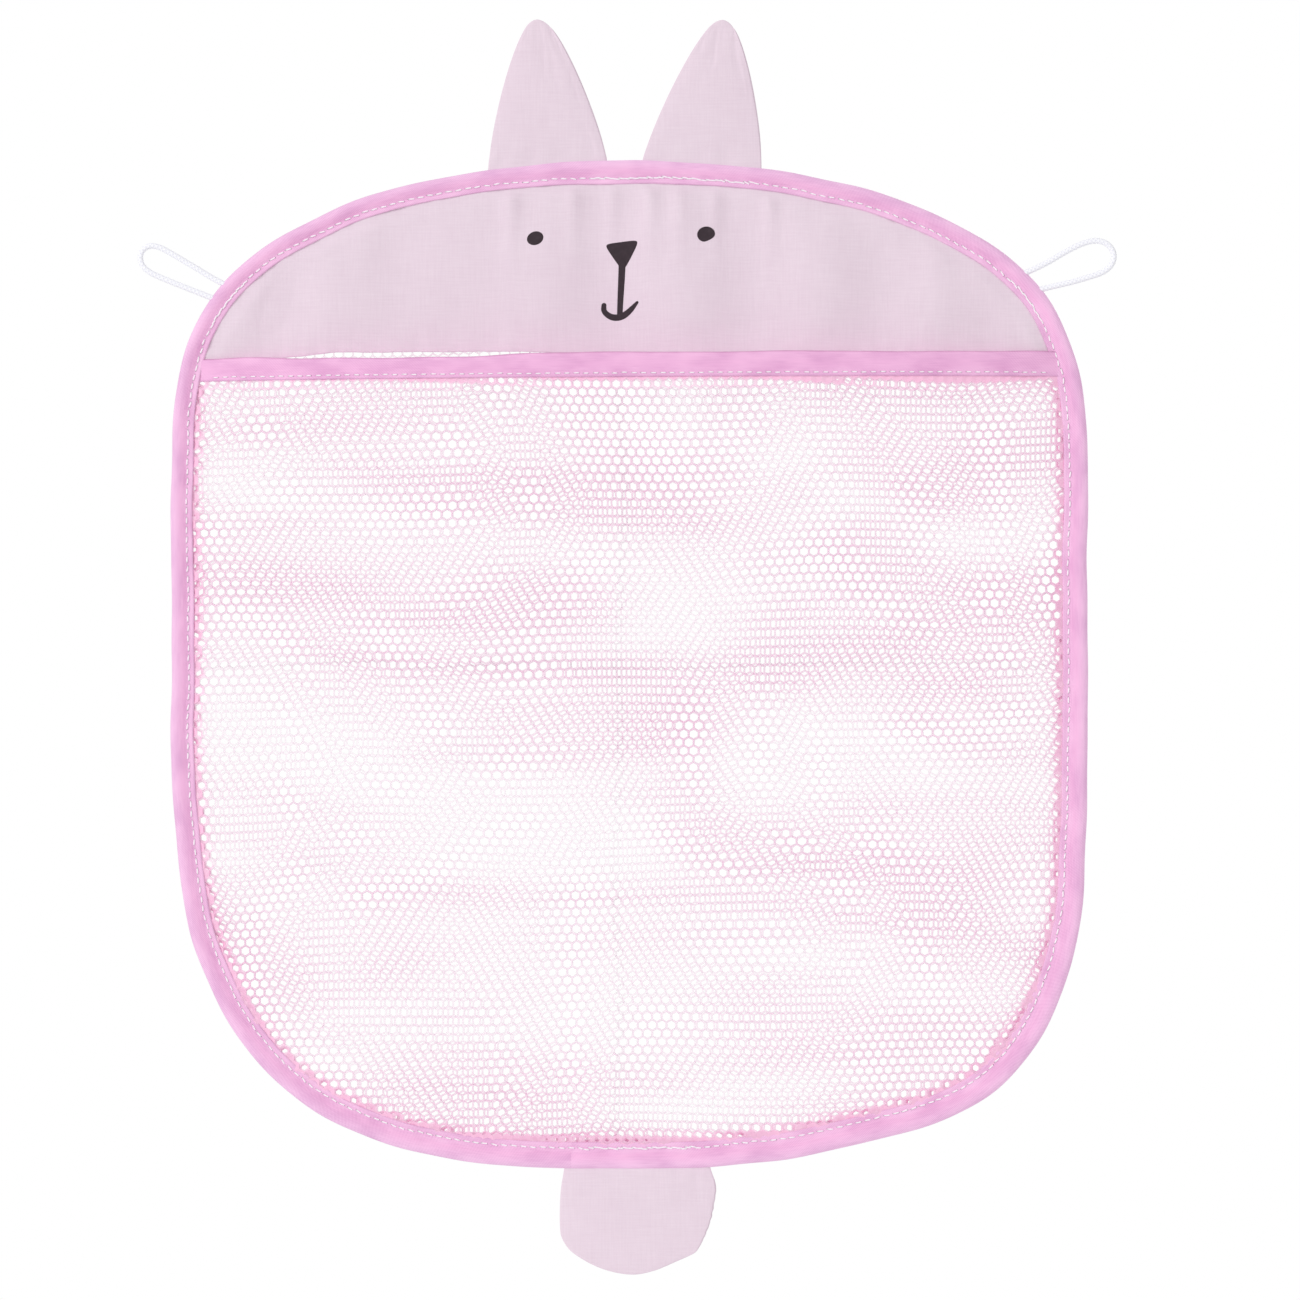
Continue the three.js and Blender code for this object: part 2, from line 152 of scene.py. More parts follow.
@dataclass(frozen=True)
class Ripple:
    """Soft relief of cloth: a sum of sine waves with seeded directions, lengths and phases."""

    seed: int
    height: float
    shortest: float
    longest: float
    heading: float = 0.0
    spread: float = 180.0
    waves: int = 8

    def at(self, x: Array, z: Array) -> Array:
        """Height of the relief at each point.

        Args:
            x: places across.
            z: places up.

        Returns:
            The sum of the waves, scaled so that its usual size doesn't depend on their number.
        """
        x, z = np.broadcast_arrays(x, z)
        random = np.random.default_rng(self.seed)
        turn = np.radians(self.heading + random.uniform(-self.spread, self.spread, self.waves))
        pace = 2 * np.pi / random.uniform(self.shortest, self.longest, self.waves)
        phase = random.uniform(0.0, 2 * np.pi, self.waves)
        waves = np.sin(x[..., None] * pace * np.cos(turn) + z[..., None] * pace * np.sin(turn) + phase)
        return self.height * waves.sum(-1) / np.sqrt(self.waves)


def grid_corners(rows: int, columns: int, close_rows: bool, close_columns: bool) -> tuple[Array, Array]:
    """Row and column numbers of the corners of a grid's quads.

    Args:
        rows: rows of points.
        columns: points in a row.
        close_rows: whether the last row joins the first.
        close_columns: whether the last column joins the first.

    Returns:
        Two arrays of four numbers for each quad, which run past the end where the grid closes.
    """
    row, column = np.meshgrid(
        np.arange(rows if close_rows else rows - 1),
        np.arange(columns if close_columns else columns - 1),
        indexing="ij",
    )
    return row.reshape(-1, 1) + np.array([0, 1, 1, 0]), column.reshape(-1, 1) + np.array([0, 0, 1, 1])


def signed_volume(points: Array, faces: list[Array]) -> float:
    """Six times the volume inside closed faces, below zero where they point inwards.

    Args:
        points: the corners.
        faces: corner numbers of the faces, each array with its own count of corners.

    Returns:
        The sum of corner . (next x last) over the fans of triangles that fill the faces.
    """
    total = 0.0
    for group in faces:
        for k in range(1, group.shape[1] - 1):
            a, b, c = (points[group[:, i]] for i in (0, k, k + 1))
            total += float((a * np.cross(b, c)).sum())
    return total


def make_piece(
    name: str,
    points: Array,
    faces: list[Array],
    material: Material,
    uv: list[Array] | None = None,
    closed: bool = True,
    flat_last: int = 0,
) -> Piece:
    """Put points and faces into a mesh object at the origin, smooth shaded and with its faces outwards.

    Args:
        name: the piece's name.
        points: its corners, in millimetres.
        faces: corner numbers of its faces, each array with its own count of corners.
        material: its finish.
        uv: places on the cloth for each corner of each face, in millimetres.
        closed: whether the faces close, so that they can be turned outwards.
        flat_last: how many of the last faces are shaded flat.

    Returns:
        The object.
    """
    if closed and signed_volume(points, faces) < 0:
        faces = [group[:, ::-1] for group in faces]
        uv = [places[:, ::-1] for places in uv] if uv else None
    mesh = bpy.data.meshes.new(name)
    corners = np.concatenate([group.ravel() for group in faces]).astype(np.int32)
    counts = np.concatenate([np.full(len(group), group.shape[1]) for group in faces])
    starts = np.concatenate([[0], np.cumsum(counts)[:-1]]).astype(np.int32)
    mesh.vertices.add(len(points))
    mesh.vertices.foreach_set("co", (points * MM).astype(np.float32).ravel())
    mesh.loops.add(len(corners))
    mesh.loops.foreach_set("vertex_index", corners)
    mesh.polygons.add(len(starts))
    mesh.polygons.foreach_set("loop_start", starts)
    mesh.update(calc_edges=True)
    mesh.validate()
    mesh.polygons.foreach_set("use_smooth", np.arange(len(starts)) < len(starts) - flat_last)
    if uv:
        layer = mesh.uv_layers.new(name="cloth")
        places = np.concatenate([group.reshape(-1, 2) for group in uv])
        layer.data.foreach_set("uv", places.astype(np.float32).ravel())
    mesh.materials.append(material)
    piece = bpy.data.objects.new(name, mesh)
    bpy.context.scene.collection.objects.link(piece)
    return piece


def thicken(piece: Piece, thickness: float) -> None:
    """Close a sheet behind its faces.

    Args:
        piece: the sheet.
        thickness: its thickness, in millimetres.
    """
    modifier = piece.modifiers.new("thickness", "SOLIDIFY")
    modifier.thickness = thickness * MM
    modifier.offset = -1.0


def make_sheet(name: str, points: Array, uv: Array, material: Material, thickness: float) -> Piece:
    """Make a sheet from a grid of points, thickened away from the side that its rows and columns show.

    Args:
        name: the piece's name.
        points: the outer surface, as rows by columns by three.
        uv: places on the cloth, as rows by columns by two.
        material: its finish.
        thickness: the cloth's thickness.

    Returns:
        The object, closed by its Solidify modifier.
    """
    rows, columns = points.shape[:2]
    row, column = grid_corners(rows, columns, False, False)
    faces = [row * columns + column]
    piece = make_piece(name, points.reshape(-1, 3), faces, material, [uv[row, column]], closed=False)
    thicken(piece, thickness)
    return piece


def make_tube(
    name: str, rings: Array, material: Material, along: Array, around: Array, capped: bool = True
) -> Piece:
    """Make a closed body from rings of points, with a point in the middle of each end, or a ring of rings.

    Args:
        name: the piece's name.
        rings: the rings, as rings by points by three.
        material: its finish.
        along: place of each ring along the body, with one more value where the rings close.
        around: place of each point round its ring, with one more value that closes the ring.
        capped: whether the body has two ends, or runs back into its first ring.

    Returns:
        The object.
    """
    count, sides = rings.shape[:2]
    row, column = grid_corners(count, sides, not capped, True)
    points = rings.reshape(-1, 3)
    faces = [(row % count) * sides + column % sides]
    uv = [np.stack([along[row], around[column]], axis=-1)]
    if capped:
        middles = rings[[0, -1]].mean(axis=1)
        side = np.arange(sides)
        for ring, turn in ((0, 1), (count - 1, -1)):
            edge = ring * sides + np.stack([(side + 1) % sides, side], axis=1)[:, ::turn]
            faces.append(np.hstack([edge, np.full((sides, 1), len(points))]))
            level = np.full((sides, 3), along[ring])
            uv.append(np.stack([level, np.repeat(around[:-1, None], 3, axis=1)], axis=-1))
            points = np.vstack([points, middles[:1] if ring == 0 else middles[1:]])
    return make_piece(name, points, faces, material, uv)


def thicken_strip(outer: Array, inner: Array) -> tuple[Array, Array]:
    """Corner points and quads of a strip between two matching grids, closed along its edges and ends.

    Args:
        outer: one surface, as rows by columns by three.
        inner: the other surface, point for point behind it.

    Returns:
        The points, outer ones first, and the quads, with those of the two ends last.
    """
    rows, columns = outer.shape[:2]
    row, column = grid_corners(rows, columns, False, False)
    front = row * columns + column
    half = rows * columns
    first, last = np.arange(rows) * columns, np.arange(rows) * columns + columns - 1
    top, foot = np.arange(columns), half - columns + np.arange(columns)
    rims = [
        np.stack([line[:-1], line[1:], line[1:] + half, line[:-1] + half], axis=1)[:, ::turn]
        for line, turn in ((first, -1), (last, 1), (top, 1), (foot, -1))
    ]
    quads = np.vstack([front, front[:, ::-1] + half, *rims])
    return np.concatenate([outer.reshape(-1, 3), inner.reshape(-1, 3)]), quads


class Graph:
    """The node tree of a material or a world, with short calls that add a node and set or link its inputs."""

    def __init__(self, owner: Material | bpy.types.World) -> None:
        """Start with an empty tree.

        Args:
            owner: the material or world.
        """
        self.owner = owner
        owner.use_nodes = True
        self.tree = owner.node_tree
        self.tree.nodes.clear()

    def add(self, kind: str, inputs: dict, **settings: object) -> bpy.types.Node:
        """Add a node.

        Args:
            kind: its type, without the leading ShaderNode.
            inputs: values or sockets for its inputs, by name or number.
            **settings: its own properties.

        Returns:
            The node.
        """
        node = self.tree.nodes.new("ShaderNode" + kind)
        for key, value in settings.items():
            setattr(node, key, value)
        for key, value in inputs.items():
            if isinstance(value, Socket):
                self.tree.links.new(value, node.inputs[key])
            else:
                node.inputs[key].default_value = value
        return node

    def place(self, source: str) -> Socket:
        """Coordinates of the surface: "UV" for the cloth's own, "Object" for the frame's."""
        return self.add("TexCoord", {}).outputs[source]

    def scaled(
        self, vector: Socket, scale: tuple, turn: float = 0.0, shift: tuple = (0.0, 0.0, 0.0)
    ) -> Socket:
        """Coordinates stretched along each axis, turned about Z by an angle in degrees and then shifted."""
        inputs = {"Scale": scale, "Rotation": (0.0, 0.0, math.radians(turn)), "Location": shift}
        return self.add("Mapping", {"Vector": vector} | inputs).outputs[0]

    def noise(self, vector: Socket, scale: float, detail: float = 2.0) -> Socket:
        """Soft noise from 0 to 1, with about scale blobs for each unit of length."""
        return self.add("TexNoise", {"Vector": vector, "Scale": scale, "Detail": detail}).outputs[0]

    def bands(self, vector: Socket, axis: str, pitch: float) -> Socket:
        """Sine bands from 0 to 1 across an axis, one for each pitch."""
        settings = {"Vector": vector, "Scale": 2 * math.pi / (20 * pitch)}
        return self.add("TexWave", settings, bands_direction=axis).outputs[1]

    def math(self, operation: str, a: object, b: object = 0.0) -> Socket:
        """One operation on two values."""
        return self.add("Math", {0: a, 1: b}, operation=operation).outputs[0]

    def weighted(self, *terms: tuple[Socket, float]) -> Socket:
        """Add up values.

        Args:
            *terms: each value with its weight.

        Returns:
            The sum of the values times their weights.
        """
        total, *others = [self.math("MULTIPLY", value, weight) for value, weight in terms]
        for value in others:
            total = self.math("ADD", total, value)
        return total

    def ramp(self, value: Socket, stops: list[tuple[float, Colour]]) -> Socket:
        """Colour that runs through stops as a value goes from 0 to 1.

        Args:
            value: the value.
            stops: places from 0 to 1, each with its colour.

        Returns:
            The colour.
        """
        node = self.add("ValToRGB", {0: value})
        elements = node.color_ramp.elements
        while len(elements) < len(stops):
            elements.new(0.5)
        for element, (where, colour) in zip(elements, stops, strict=True):
            element.position = where
            element.color = linear(colour)
        return node.outputs[0]

    def mix(self, share: object, a: object, b: object, blend: str = "MIX") -> Socket:
        """Mix of two colours: a where share is 0 and b where it is 1."""
        return self.add("Mix", {0: share, 6: a, 7: b}, data_type="RGBA", blend_type=blend).outputs[2]

    def bump(self, height: Socket, depth: float, strength: float = 1.0) -> Socket:
        """Normals of a relief whose height runs from 0 to depth millimetres."""
        return self.add("Bump", {"Height": height, "Distance": depth * MM, "Strength": strength}).outputs[0]

    def finish(self, **inputs: object) -> Material:
        """End the tree in one surface shader.

        Args:
            **inputs: the shader's inputs, with _ for each space in a name.

        Returns:
            The material.
        """
        shader = self.add("BsdfPrincipled", {key.replace("_", " "): value for key, value in inputs.items()})
        self.add("OutputMaterial", {"Surface": shader.outputs[0]})
        return self.owner


def linear(colour: Colour) -> tuple[float, float, float, float]:
    """Colour as the shaders take it, from screen values of 0 to 255."""
    screen = np.array(colour) / 255.0
    light = np.where(screen <= 0.04045, screen / 12.92, ((screen + 0.055) / 1.055) ** 2.4)
    return (*light.tolist(), 1.0)


@dataclass(frozen=True)
class WovenCloth:
    """Thin plain-weave cotton with uneven yarns both ways, as its colour and its relief show."""

    name: str
    dark: Colour
    light: Colour
    yarn_pitch: float = 0.42
    slub_length: float = 11.0
    slub_pitch: float = 0.6
    relief: float = 0.09

    def material(self) -> Material:
        """Yarns crossing over and under each other, thick and thin stretches along them, and faint clouds."""
        graph = Graph(bpy.data.materials.new(self.name))
        place = graph.place("UV")
        warp = graph.bands(place, "X", self.yarn_pitch)
        weft = graph.bands(place, "Y", self.yarn_pitch)
        weave = graph.math("MULTIPLY", warp, weft)
        along, across = 1 / self.slub_length, 1 / self.slub_pitch
        weft_slubs = graph.noise(graph.scaled(place, (along, across, 1.0)), 1.0, 3.0)
        warp_slubs = graph.noise(graph.scaled(place, (across, along, 1.0)), 1.0, 3.0)
        slubs = graph.math("MULTIPLY", graph.math("ADD", weft_slubs, warp_slubs), 0.5)
        clouds = graph.noise(place, 0.06, 3.0)
        tone = graph.weighted((slubs, 0.95), (weave, 0.16), (clouds, 0.3))
        colour = graph.ramp(tone, [(0.38, self.dark), (1.0, self.light)])
        height = graph.math("ADD", weave, slubs)
        return graph.finish(
            Base_Color=colour,
            Roughness=0.88,
            Specular_IOR_Level=0.25,
            Sheen_Weight=0.12,
            Sheen_Roughness=0.5,
            Normal=graph.bump(height, self.relief, 0.55),
        )


@dataclass(frozen=True)
class SatinTape:
    """Folded binding tape with a soft satin face: fine ribs across it, and painted light and shade from fold to
    edges.
    """

    name: str
    fold: Colour
    crown: Colour
    edge: Colour
    lip: Colour
    # under: a paler pink where the back leaf shows past the lip, painted light that offsets the shade there
    under: Colour
    width: float
    fold_share: float = 0.28
    rib_pitch: float = 0.5
    relief: float = 0.05

    def material(self) -> Material:
        """Painted light and shade by the distance from the fold, drawn threads along the tape, soft clouds and
        ribs.
        """
        graph = Graph(bpy.data.materials.new(self.name))
        place = graph.place("UV")
        across = graph.math("ABSOLUTE", graph.add("SeparateXYZ", {0: place}).outputs[1])
        share = graph.math("DIVIDE", across, self.width)
        clouds = graph.noise(graph.scaled(place, (0.07, 0.16, 1.0)), 1.0, 3.0)
        threads = graph.noise(graph.scaled(place, (0.14, 2.4, 1.0)), 1.0, 2.0)
        wander = graph.math("MULTIPLY", graph.math("SUBTRACT", clouds, 0.5), 0.9)
        # The stops paint light and shade: the fold lighter and the tape darker towards the stitch line.
        stops = [(0.0, self.fold), (self.fold_share, self.crown), (0.55, self.edge), (0.85, self.lip)]
        moved = graph.math("ADD", share, graph.math("MULTIPLY", wander, graph.math("MINIMUM", share, 1.0)))
        # Past the lip the colour turns to under, a paler pink painted to offset the shade beneath the lip.
        past_lip = graph.add("MapRange", {0: share, 1: 1.05, 2: 1.09}).outputs[0]
        tint = graph.mix(past_lip, graph.ramp(moved, stops), linear(self.under))
        ribs = graph.bands(graph.scaled(place, (1.0, 1.0, 1.0), 28.0), "X", self.rib_pitch)
        tone = graph.weighted((threads, 0.25), (ribs, 0.2), (clouds, 0.55))
        shade = graph.ramp(tone, [(0.33, (229, 214, 229)), (0.62, (255, 255, 255))])
        return graph.finish(
            Base_Color=graph.mix(1.0, tint, shade, "MULTIPLY"),
            Roughness=graph.math("ADD", graph.math("MULTIPLY", clouds, 0.16), 0.54),
            Specular_IOR_Level=0.3,
            Anisotropic=0.4,
            Sheen_Weight=0.12,
            Sheen_Roughness=0.4,
            Normal=graph.bump(graph.math("ADD", ribs, threads), self.relief, 0.5),
        )


@dataclass(frozen=True)
class NetYarn:
    """Knitted nylon yarn that lets some light through: pale where it is thin and deeper where it bunches."""

    name: str
    thin: Colour
    bunched: Colour
    gathered: Colour
    opacity: float
    gathered_opacity: float = 0.95
    banding: float = 0.3
    waviness: float = 0.8
    # Painted shade: the net grows denser and darker towards the right.
    shade_to_right: float = 0.3
    band_shift: tuple[float, float, float] = (6.6, 0.0, 3.9)

    def material(self) -> Material:
        """Sheer and dense waving bands, painted shade to the right, gathered yarn in seams, loops as relief."""
        graph = Graph(bpy.data.materials.new(self.name))
        place = graph.place("Object")
        in_seam = graph.add("SeparateXYZ", {0: graph.place("UV")}).outputs[0]
        loops = graph.noise(place, 900.0, 2.0)
        stretched = graph.scaled(place, (7.0, 1.0, 24.0), shift=self.band_shift)
        waved = {"Vector": stretched, "Scale": 1.0, "Detail": 2.0, "Distortion": self.waviness}
        # Painted shade: the bands shift towards the dense, darker yarn on the right.
        right_shade = graph.math("MULTIPLY", graph.add("SeparateXYZ", {0: place}).outputs[0], self.shade_to_right)
        bands = graph.math("SUBTRACT", graph.add("TexNoise", waved).outputs[0], right_shade)
        tone = graph.weighted((loops, 0.3), (bands, 0.7))
        tint = graph.ramp(tone, [(0.36, self.bunched), (0.64, self.thin)])
        dense, sheer = self.opacity * (1.0 + self.banding), self.opacity * (1.0 - self.banding)
        free = graph.add("MapRange", {0: bands, 1: 0.35, 2: 0.65, 3: dense, 4: sheer}).outputs[0]
        opacity = graph.add("MapRange", {0: in_seam, 3: free, 4: self.gathered_opacity}).outputs[0]
        return graph.finish(
            Base_Color=graph.mix(in_seam, tint, linear(self.gathered)),
            Roughness=0.6,
            Specular_IOR_Level=0.3,
            Alpha=opacity,
            Normal=graph.bump(loops, 0.08, 0.5),
        )


@dataclass(frozen=True)
class SewingThread:
    """Twisted polyester thread, shinier than the cloth that it holds."""

    name: str
    light: Colour
    dark: Colour

    def material(self) -> Material:
        """Two plies that wind round each other, drawn as slanting bands along each stitch."""
        graph = Graph(bpy.data.materials.new(self.name))
        place = graph.place("UV")
        plies = graph.bands(graph.scaled(place, (1.0, 1.0, 1.0), 35.0), "X", 0.35)
        drift = graph.noise(graph.place("Object"), 120.0, 2.0)
        tone = graph.weighted((plies, 0.5), (drift, 0.5))
        return graph.finish(
            Base_Color=graph.ramp(tone, [(0.2, self.dark), (0.7, self.light)]),
            Roughness=0.48,
            Specular_IOR_Level=0.4,
            Normal=graph.bump(plies, 0.05, 0.6),
        )


@dataclass(frozen=True)
class BraidedCord:
    """White braided cord: two sets of plaits that cross round it, with painted shade where they dive under each
    other.
    """

    name: str
    crest: Colour
    groove: Colour
    plait_pitch: float
    girth: float
    plaits: int

    def material(self) -> Material:
        """Crossing bands at equal and opposite slants, with fine filaments along each plait."""
        graph = Graph(bpy.data.materials.new(self.name))
        place = graph.place("UV")
        slant = math.degrees(math.atan2(self.girth / self.plaits, self.plait_pitch))
        step = self.plait_pitch * math.sin(math.radians(slant))
        one = graph.bands(graph.scaled(place, (1.0, 1.0, 1.0), slant), "Y", step)
        two = graph.bands(graph.scaled(place, (1.0, 1.0, 1.0), -slant), "Y", step)
        plaits = graph.math("MAXIMUM", one, two)
        filaments = graph.noise(graph.scaled(place, (0.8, 7.0, 1.0)), 1.0, 2.0)
        tone = graph.weighted((plaits, 0.7), (filaments, 0.3))
        return graph.finish(
            # The groove colour is painted shade where the plaits dive under each other.
            Base_Color=graph.ramp(tone, [(0.3, self.groove), (0.8, self.crest)]),
            Roughness=0.7,
            Specular_IOR_Level=0.3,
            Sheen_Weight=0.15,
            Normal=graph.bump(tone, 0.1, 0.6),
        )


@dataclass(frozen=True)
class PrintedInk:
    """Ink screened onto the cloth, so that the yarns' relief and a little of their colour come through."""

    name: str
    ink: Colour
    worn: Colour
    yarn_pitch: float = 0.42

    def material(self) -> Material:
        """Dark flat ink, a touch paler on the crests of the yarns and in soft patches."""
        graph = Graph(bpy.data.materials.new(self.name))
        place = graph.place("UV")
        weave = graph.math(
            "MULTIPLY",
            graph.bands(place, "X", self.yarn_pitch),
            graph.bands(place, "Y", self.yarn_pitch),
        )
        patches = graph.noise(place, 0.5, 4.0)
        tone = graph.weighted((weave, 0.4), (patches, 0.6))
        return graph.finish(
            Base_Color=graph.ramp(tone, [(0.35, self.ink), (0.95, self.worn)]),
            Roughness=0.82,
            Specular_IOR_Level=0.25,
            Normal=graph.bump(weave, 0.06, 0.5),
        )


@dataclass(frozen=True)
class Wadding:
    """Needled polyester wadding: white fibres in all directions."""

    name: str
    fibre: Colour
    hollow_shade: Colour

    def material(self) -> Material:
        """Tangled fibres as stretched noise in two directions, with painted shade in the hollows between them.
        """
        graph = Graph(bpy.data.materials.new(self.name))
        place = graph.place("Object")
        one = graph.noise(graph.scaled(place, (3000.0, 300.0, 400.0)), 1.0, 4.0)
        two = graph.noise(graph.scaled(place, (400.0, 300.0, 3000.0)), 1.0, 4.0)
        fibres = graph.math("MAXIMUM", one, two)
        return graph.finish(
            Base_Color=graph.ramp(fibres, [(0.35, self.hollow_shade), (0.75, self.fibre)]),
            Roughness=0.95,
            Sheen_Weight=0.3,
            Normal=graph.bump(fibres, 0.3, 0.8),
        )


@dataclass(frozen=True)
class EdgePath:
    """A closed path round the bag's edge: points and outward directions in x and z, and its length so far."""

    points: Array
    outward: Array
    along: Array
    length: float

    def inset(self, distance: Array | float) -> Array:
        """Points of the path moved into the bag by a distance, which may differ from point to point."""
        return self.points - self.outward * np.reshape(distance, (-1, 1))

    def at(self, along: Array, values: Array) -> Array:
        """Values given at the path's points, read at other distances along it."""
        ends = np.append(self.along, self.length)
        columns = values.reshape(len(self.along), -1)
        read = [np.interp(along % self.length, ends, np.append(column, column[0])) for column in columns.T]
        return np.stack(read, axis=1).reshape(len(along), *values.shape[1:])


@dataclass(frozen=True)
class BagOutline:
    """Outer edge of the bag: a crown and a base of quarter superellipses, with straight sides between them.

    The base was sewn a little unevenly, so that its two corners differ and one stretch of it is drawn up.
    """

    half_width: float
    shoulder: float
    crown_height: float = 118.0
    side_length: float = 75.0
    base_height: float = 168.0
    crown_powers: tuple[float, float] = (2.05, 3.25)
    left_base_powers: tuple[float, float] = (2.98, 3.0)
    right_base_powers: tuple[float, float] = (2.95, 4.0)
    slack_place: float = 84.0
    slack_reach: float = 36.0
    slack_rise: float = 3.3
    join_place: float = -21.0

    @classmethod
    def from_frame(cls) -> "BagOutline":
        """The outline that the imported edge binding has: its width, and its shoulder below the crown's top."""
        low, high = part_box("edge_binding")
        return cls((high[0] - low[0]) / 2 / MM, high[2] / MM - cls.crown_height)

    @property
    def hip(self) -> float:
        """Height where the straight sides meet the base."""
        return self.shoulder - self.side_length

    @property
    def middle(self) -> float:
        """Height half way between the crown's top and the base's foot."""
        return (self.shoulder + self.crown_height + self.hip - self.base_height) / 2

    def arch(self, share: Array, powers: tuple[float, float]) -> Array:
        """Height of a superellipse at a share of its half width: (1 - |share|^across)^(1 / up)."""
        across, up = powers
        return np.clip(1.0 - np.abs(share) ** across, 0.0, 1.0) ** (1.0 / up)

    def slack(self, x: Array) -> Array:
        """How far the base is drawn up at x."""
        return self.slack_rise * bell(x - self.slack_place, self.slack_reach)

    def crown_edge(self, x: Array) -> Array:
        """Height of the crown's edge at x."""
        return self.shoulder + self.crown_height * self.arch(x / self.half_width, self.crown_powers)

    def base_edge(self, x: Array) -> Array:
        """Height of the base's edge at x."""
        share = x / self.half_width
        left = self.arch(share, self.left_base_powers)
        right = self.arch(share, self.right_base_powers)
        return self.hip - self.base_height * np.where(share < 0, left, right) + self.slack(x)

    def side_edge(self, z: Array, side: Side) -> Array:
        """Place across of one side's edge at height z.

        Args:
            z: heights.
            side: which side.

        Returns:
            The superellipse of the crown or the base solved for x, or the straight side between them.
        """
        above = (np.maximum(z, self.shoulder) - self.shoulder) / self.crown_height
        below = (self.hip - np.minimum(z, self.hip)) / self.base_height
        powers = self.left_base_powers if side is Side.LEFT else self.right_base_powers
        crown, base = self.arch(above, self.crown_powers[::-1]), self.arch(below, powers[::-1])
        return side.value * self.half_width * np.minimum(crown, base)

    def below_crown(self, x: Array, z: Array) -> Array:
        """About how far a point lies inside the crown's edge.

        Args:
            x: places across.
            z: heights above the shoulder.

        Returns:
            f over the length of its gradient, for f = 1 - |x / half width|^across - (height / crown)^up.
        """
        across, up = self.crown_powers
        wide = np.abs(x) / self.half_width
        high = np.clip(z - self.shoulder, 0.01, None) / self.crown_height
        slope_across = across * wide ** (across - 1) / self.half_width
        slope_up = up * high ** (up - 1) / self.crown_height
        return (1.0 - wide**across - high**up) / np.maximum(np.hypot(slope_across, slope_up), 0.001)

    def depth_inside(self, x: Array, z: Array) -> Array:
        """How far a point lies inside the edge, measured across and up, whichever is less."""
        across = np.minimum(x - self.side_edge(z, Side.LEFT), self.side_edge(z, Side.RIGHT) - x)
        return np.minimum(across, np.minimum(self.crown_edge(x) - z, z - self.base_edge(x)))

    def path(self, step: float) -> EdgePath:
        """Walk round the edge, anticlockwise from the front, starting where the tape's ends overlap.

        Args:
            step: distance between points.

        Returns:
            The path.
        """
        angle = np.linspace(0.0, np.pi / 2, OUTLINE_STEPS)

        def quarter(powers: tuple[float, float], side: int, height: float, foot: float) -> Array:
            """A quarter of a superellipse, from the side to the top or the foot."""
            across, up = powers
            x = side * self.half_width * np.cos(angle).clip(0) ** (2 / across)
            return np.stack([x, foot + height * np.sin(angle) ** (2 / up)], axis=1)

        base_right = quarter(self.right_base_powers, 1, -self.base_height, self.hip)
        base_left = quarter(self.left_base_powers, -1, -self.base_height, self.hip)
        for corner in (base_left, base_right):
            corner[:, 1] += self.slack(corner[:, 0]) * np.sin(angle)
        walk = np.vstack([
            quarter(self.crown_powers, 1, self.crown_height, self.shoulder),
            quarter(self.crown_powers, -1, self.crown_height, self.shoulder)[-2::-1],
            base_left,
            base_right[-2::-1],
        ])
        start = len(walk) - 2 * len(angle) + int(np.argmin(np.abs(base_left[:, 0] - self.join_place))) + 1
        walk = np.roll(walk, -start, axis=0)
        loop = np.vstack([walk, walk[:1]])
        far = length_so_far(loop)
        count = int(round(far[-1] / step))
        along = np.arange(count) * far[-1] / count
        points = np.stack([np.interp(along, far, axis) for axis in loop.T], axis=1)
        ahead = unit(np.roll(points, -2, axis=0) - np.roll(points, 2, axis=0))
        return EdgePath(points, np.stack([ahead[:, 1], -ahead[:, 0]], axis=1), along, float(far[-1]))


@dataclass(frozen=True)
class SewnStitches:
    """Lockstitches: short capsules of thread that rise out of the cloth and dive back into it."""

    length: float = 2.75
    radius: float = 0.3
    rise: float = 0.22
    stations: tuple[float, ...] = (-0.8, -0.3, 0.3, 0.8)
    sides: int = 6

    def build(
        self, name: str, centres: Array, ahead: Array, outward: Array, material: Material
    ) -> Piece:
        """Make one piece of many stitches.

        Args:
            name: the piece's name.
            centres: middle of each stitch on the cloth.
            ahead: its direction along the seam.
            outward: its direction away from the cloth.
            material: its finish.

        Returns:
            The object. Along a stitch, at station a from -1 to 1, the radius is that of the thread times
            sqrt(1 - a^4), and the thread's middle stands off the cloth by the rise times 1 - a^2.
        """
        aside = np.cross(ahead, outward)
        station = np.array(self.stations)
        turn = np.arange(self.sides) * 2 * np.pi / self.sides
        girth = self.radius * np.sqrt(1 - station**4)

        def along_stitch(a: Array) -> Array:
            """Middle of the thread at each station of each stitch."""
            reach, lift = (a * self.length / 2)[:, None], (self.rise * (1 - a**2))[:, None]
            return centres[:, None] + ahead[:, None] * reach + outward[:, None] * lift

        spokes = aside[:, None] * np.cos(turn)[:, None] + outward[:, None] * np.sin(turn)[:, None]
        rings = along_stitch(station)[:, :, None] + girth[:, None, None] * spokes[:, None]
        tips = along_stitch(np.array([-1.0, 1.0]))
        count, rows, sides = len(centres), len(station), self.sides
        points = np.concatenate([rings.reshape(count, -1, 3), tips], axis=1)
        row, column = grid_corners(rows, sides, False, True)
        quads = row * sides + column % sides
        side = np.arange(sides)
        edge = np.stack([side, (side + 1) % sides], axis=1)
        caps = np.vstack([
            np.hstack([edge[:, ::-1], np.full((sides, 1), rows * sides)]),
            np.hstack([edge + (rows - 1) * sides, np.full((sides, 1), rows * sides + 1)]),
        ])
        first = np.arange(count)[:, None, None] * points.shape[1]
        faces = [(group[None] + first).reshape(-1, group.shape[1]) for group in (quads, caps)]
        spread = np.concatenate([np.repeat(station, sides), [-1.0, 1.0]]) * self.length / 2
        around = np.concatenate([np.tile(turn, rows) * self.radius, [0.0, 0.0]])
        uv = np.tile(np.stack([spread, around], axis=1), (count, 1))
        return make_piece(name, points.reshape(-1, 3), faces, material, [uv[group] for group in faces])


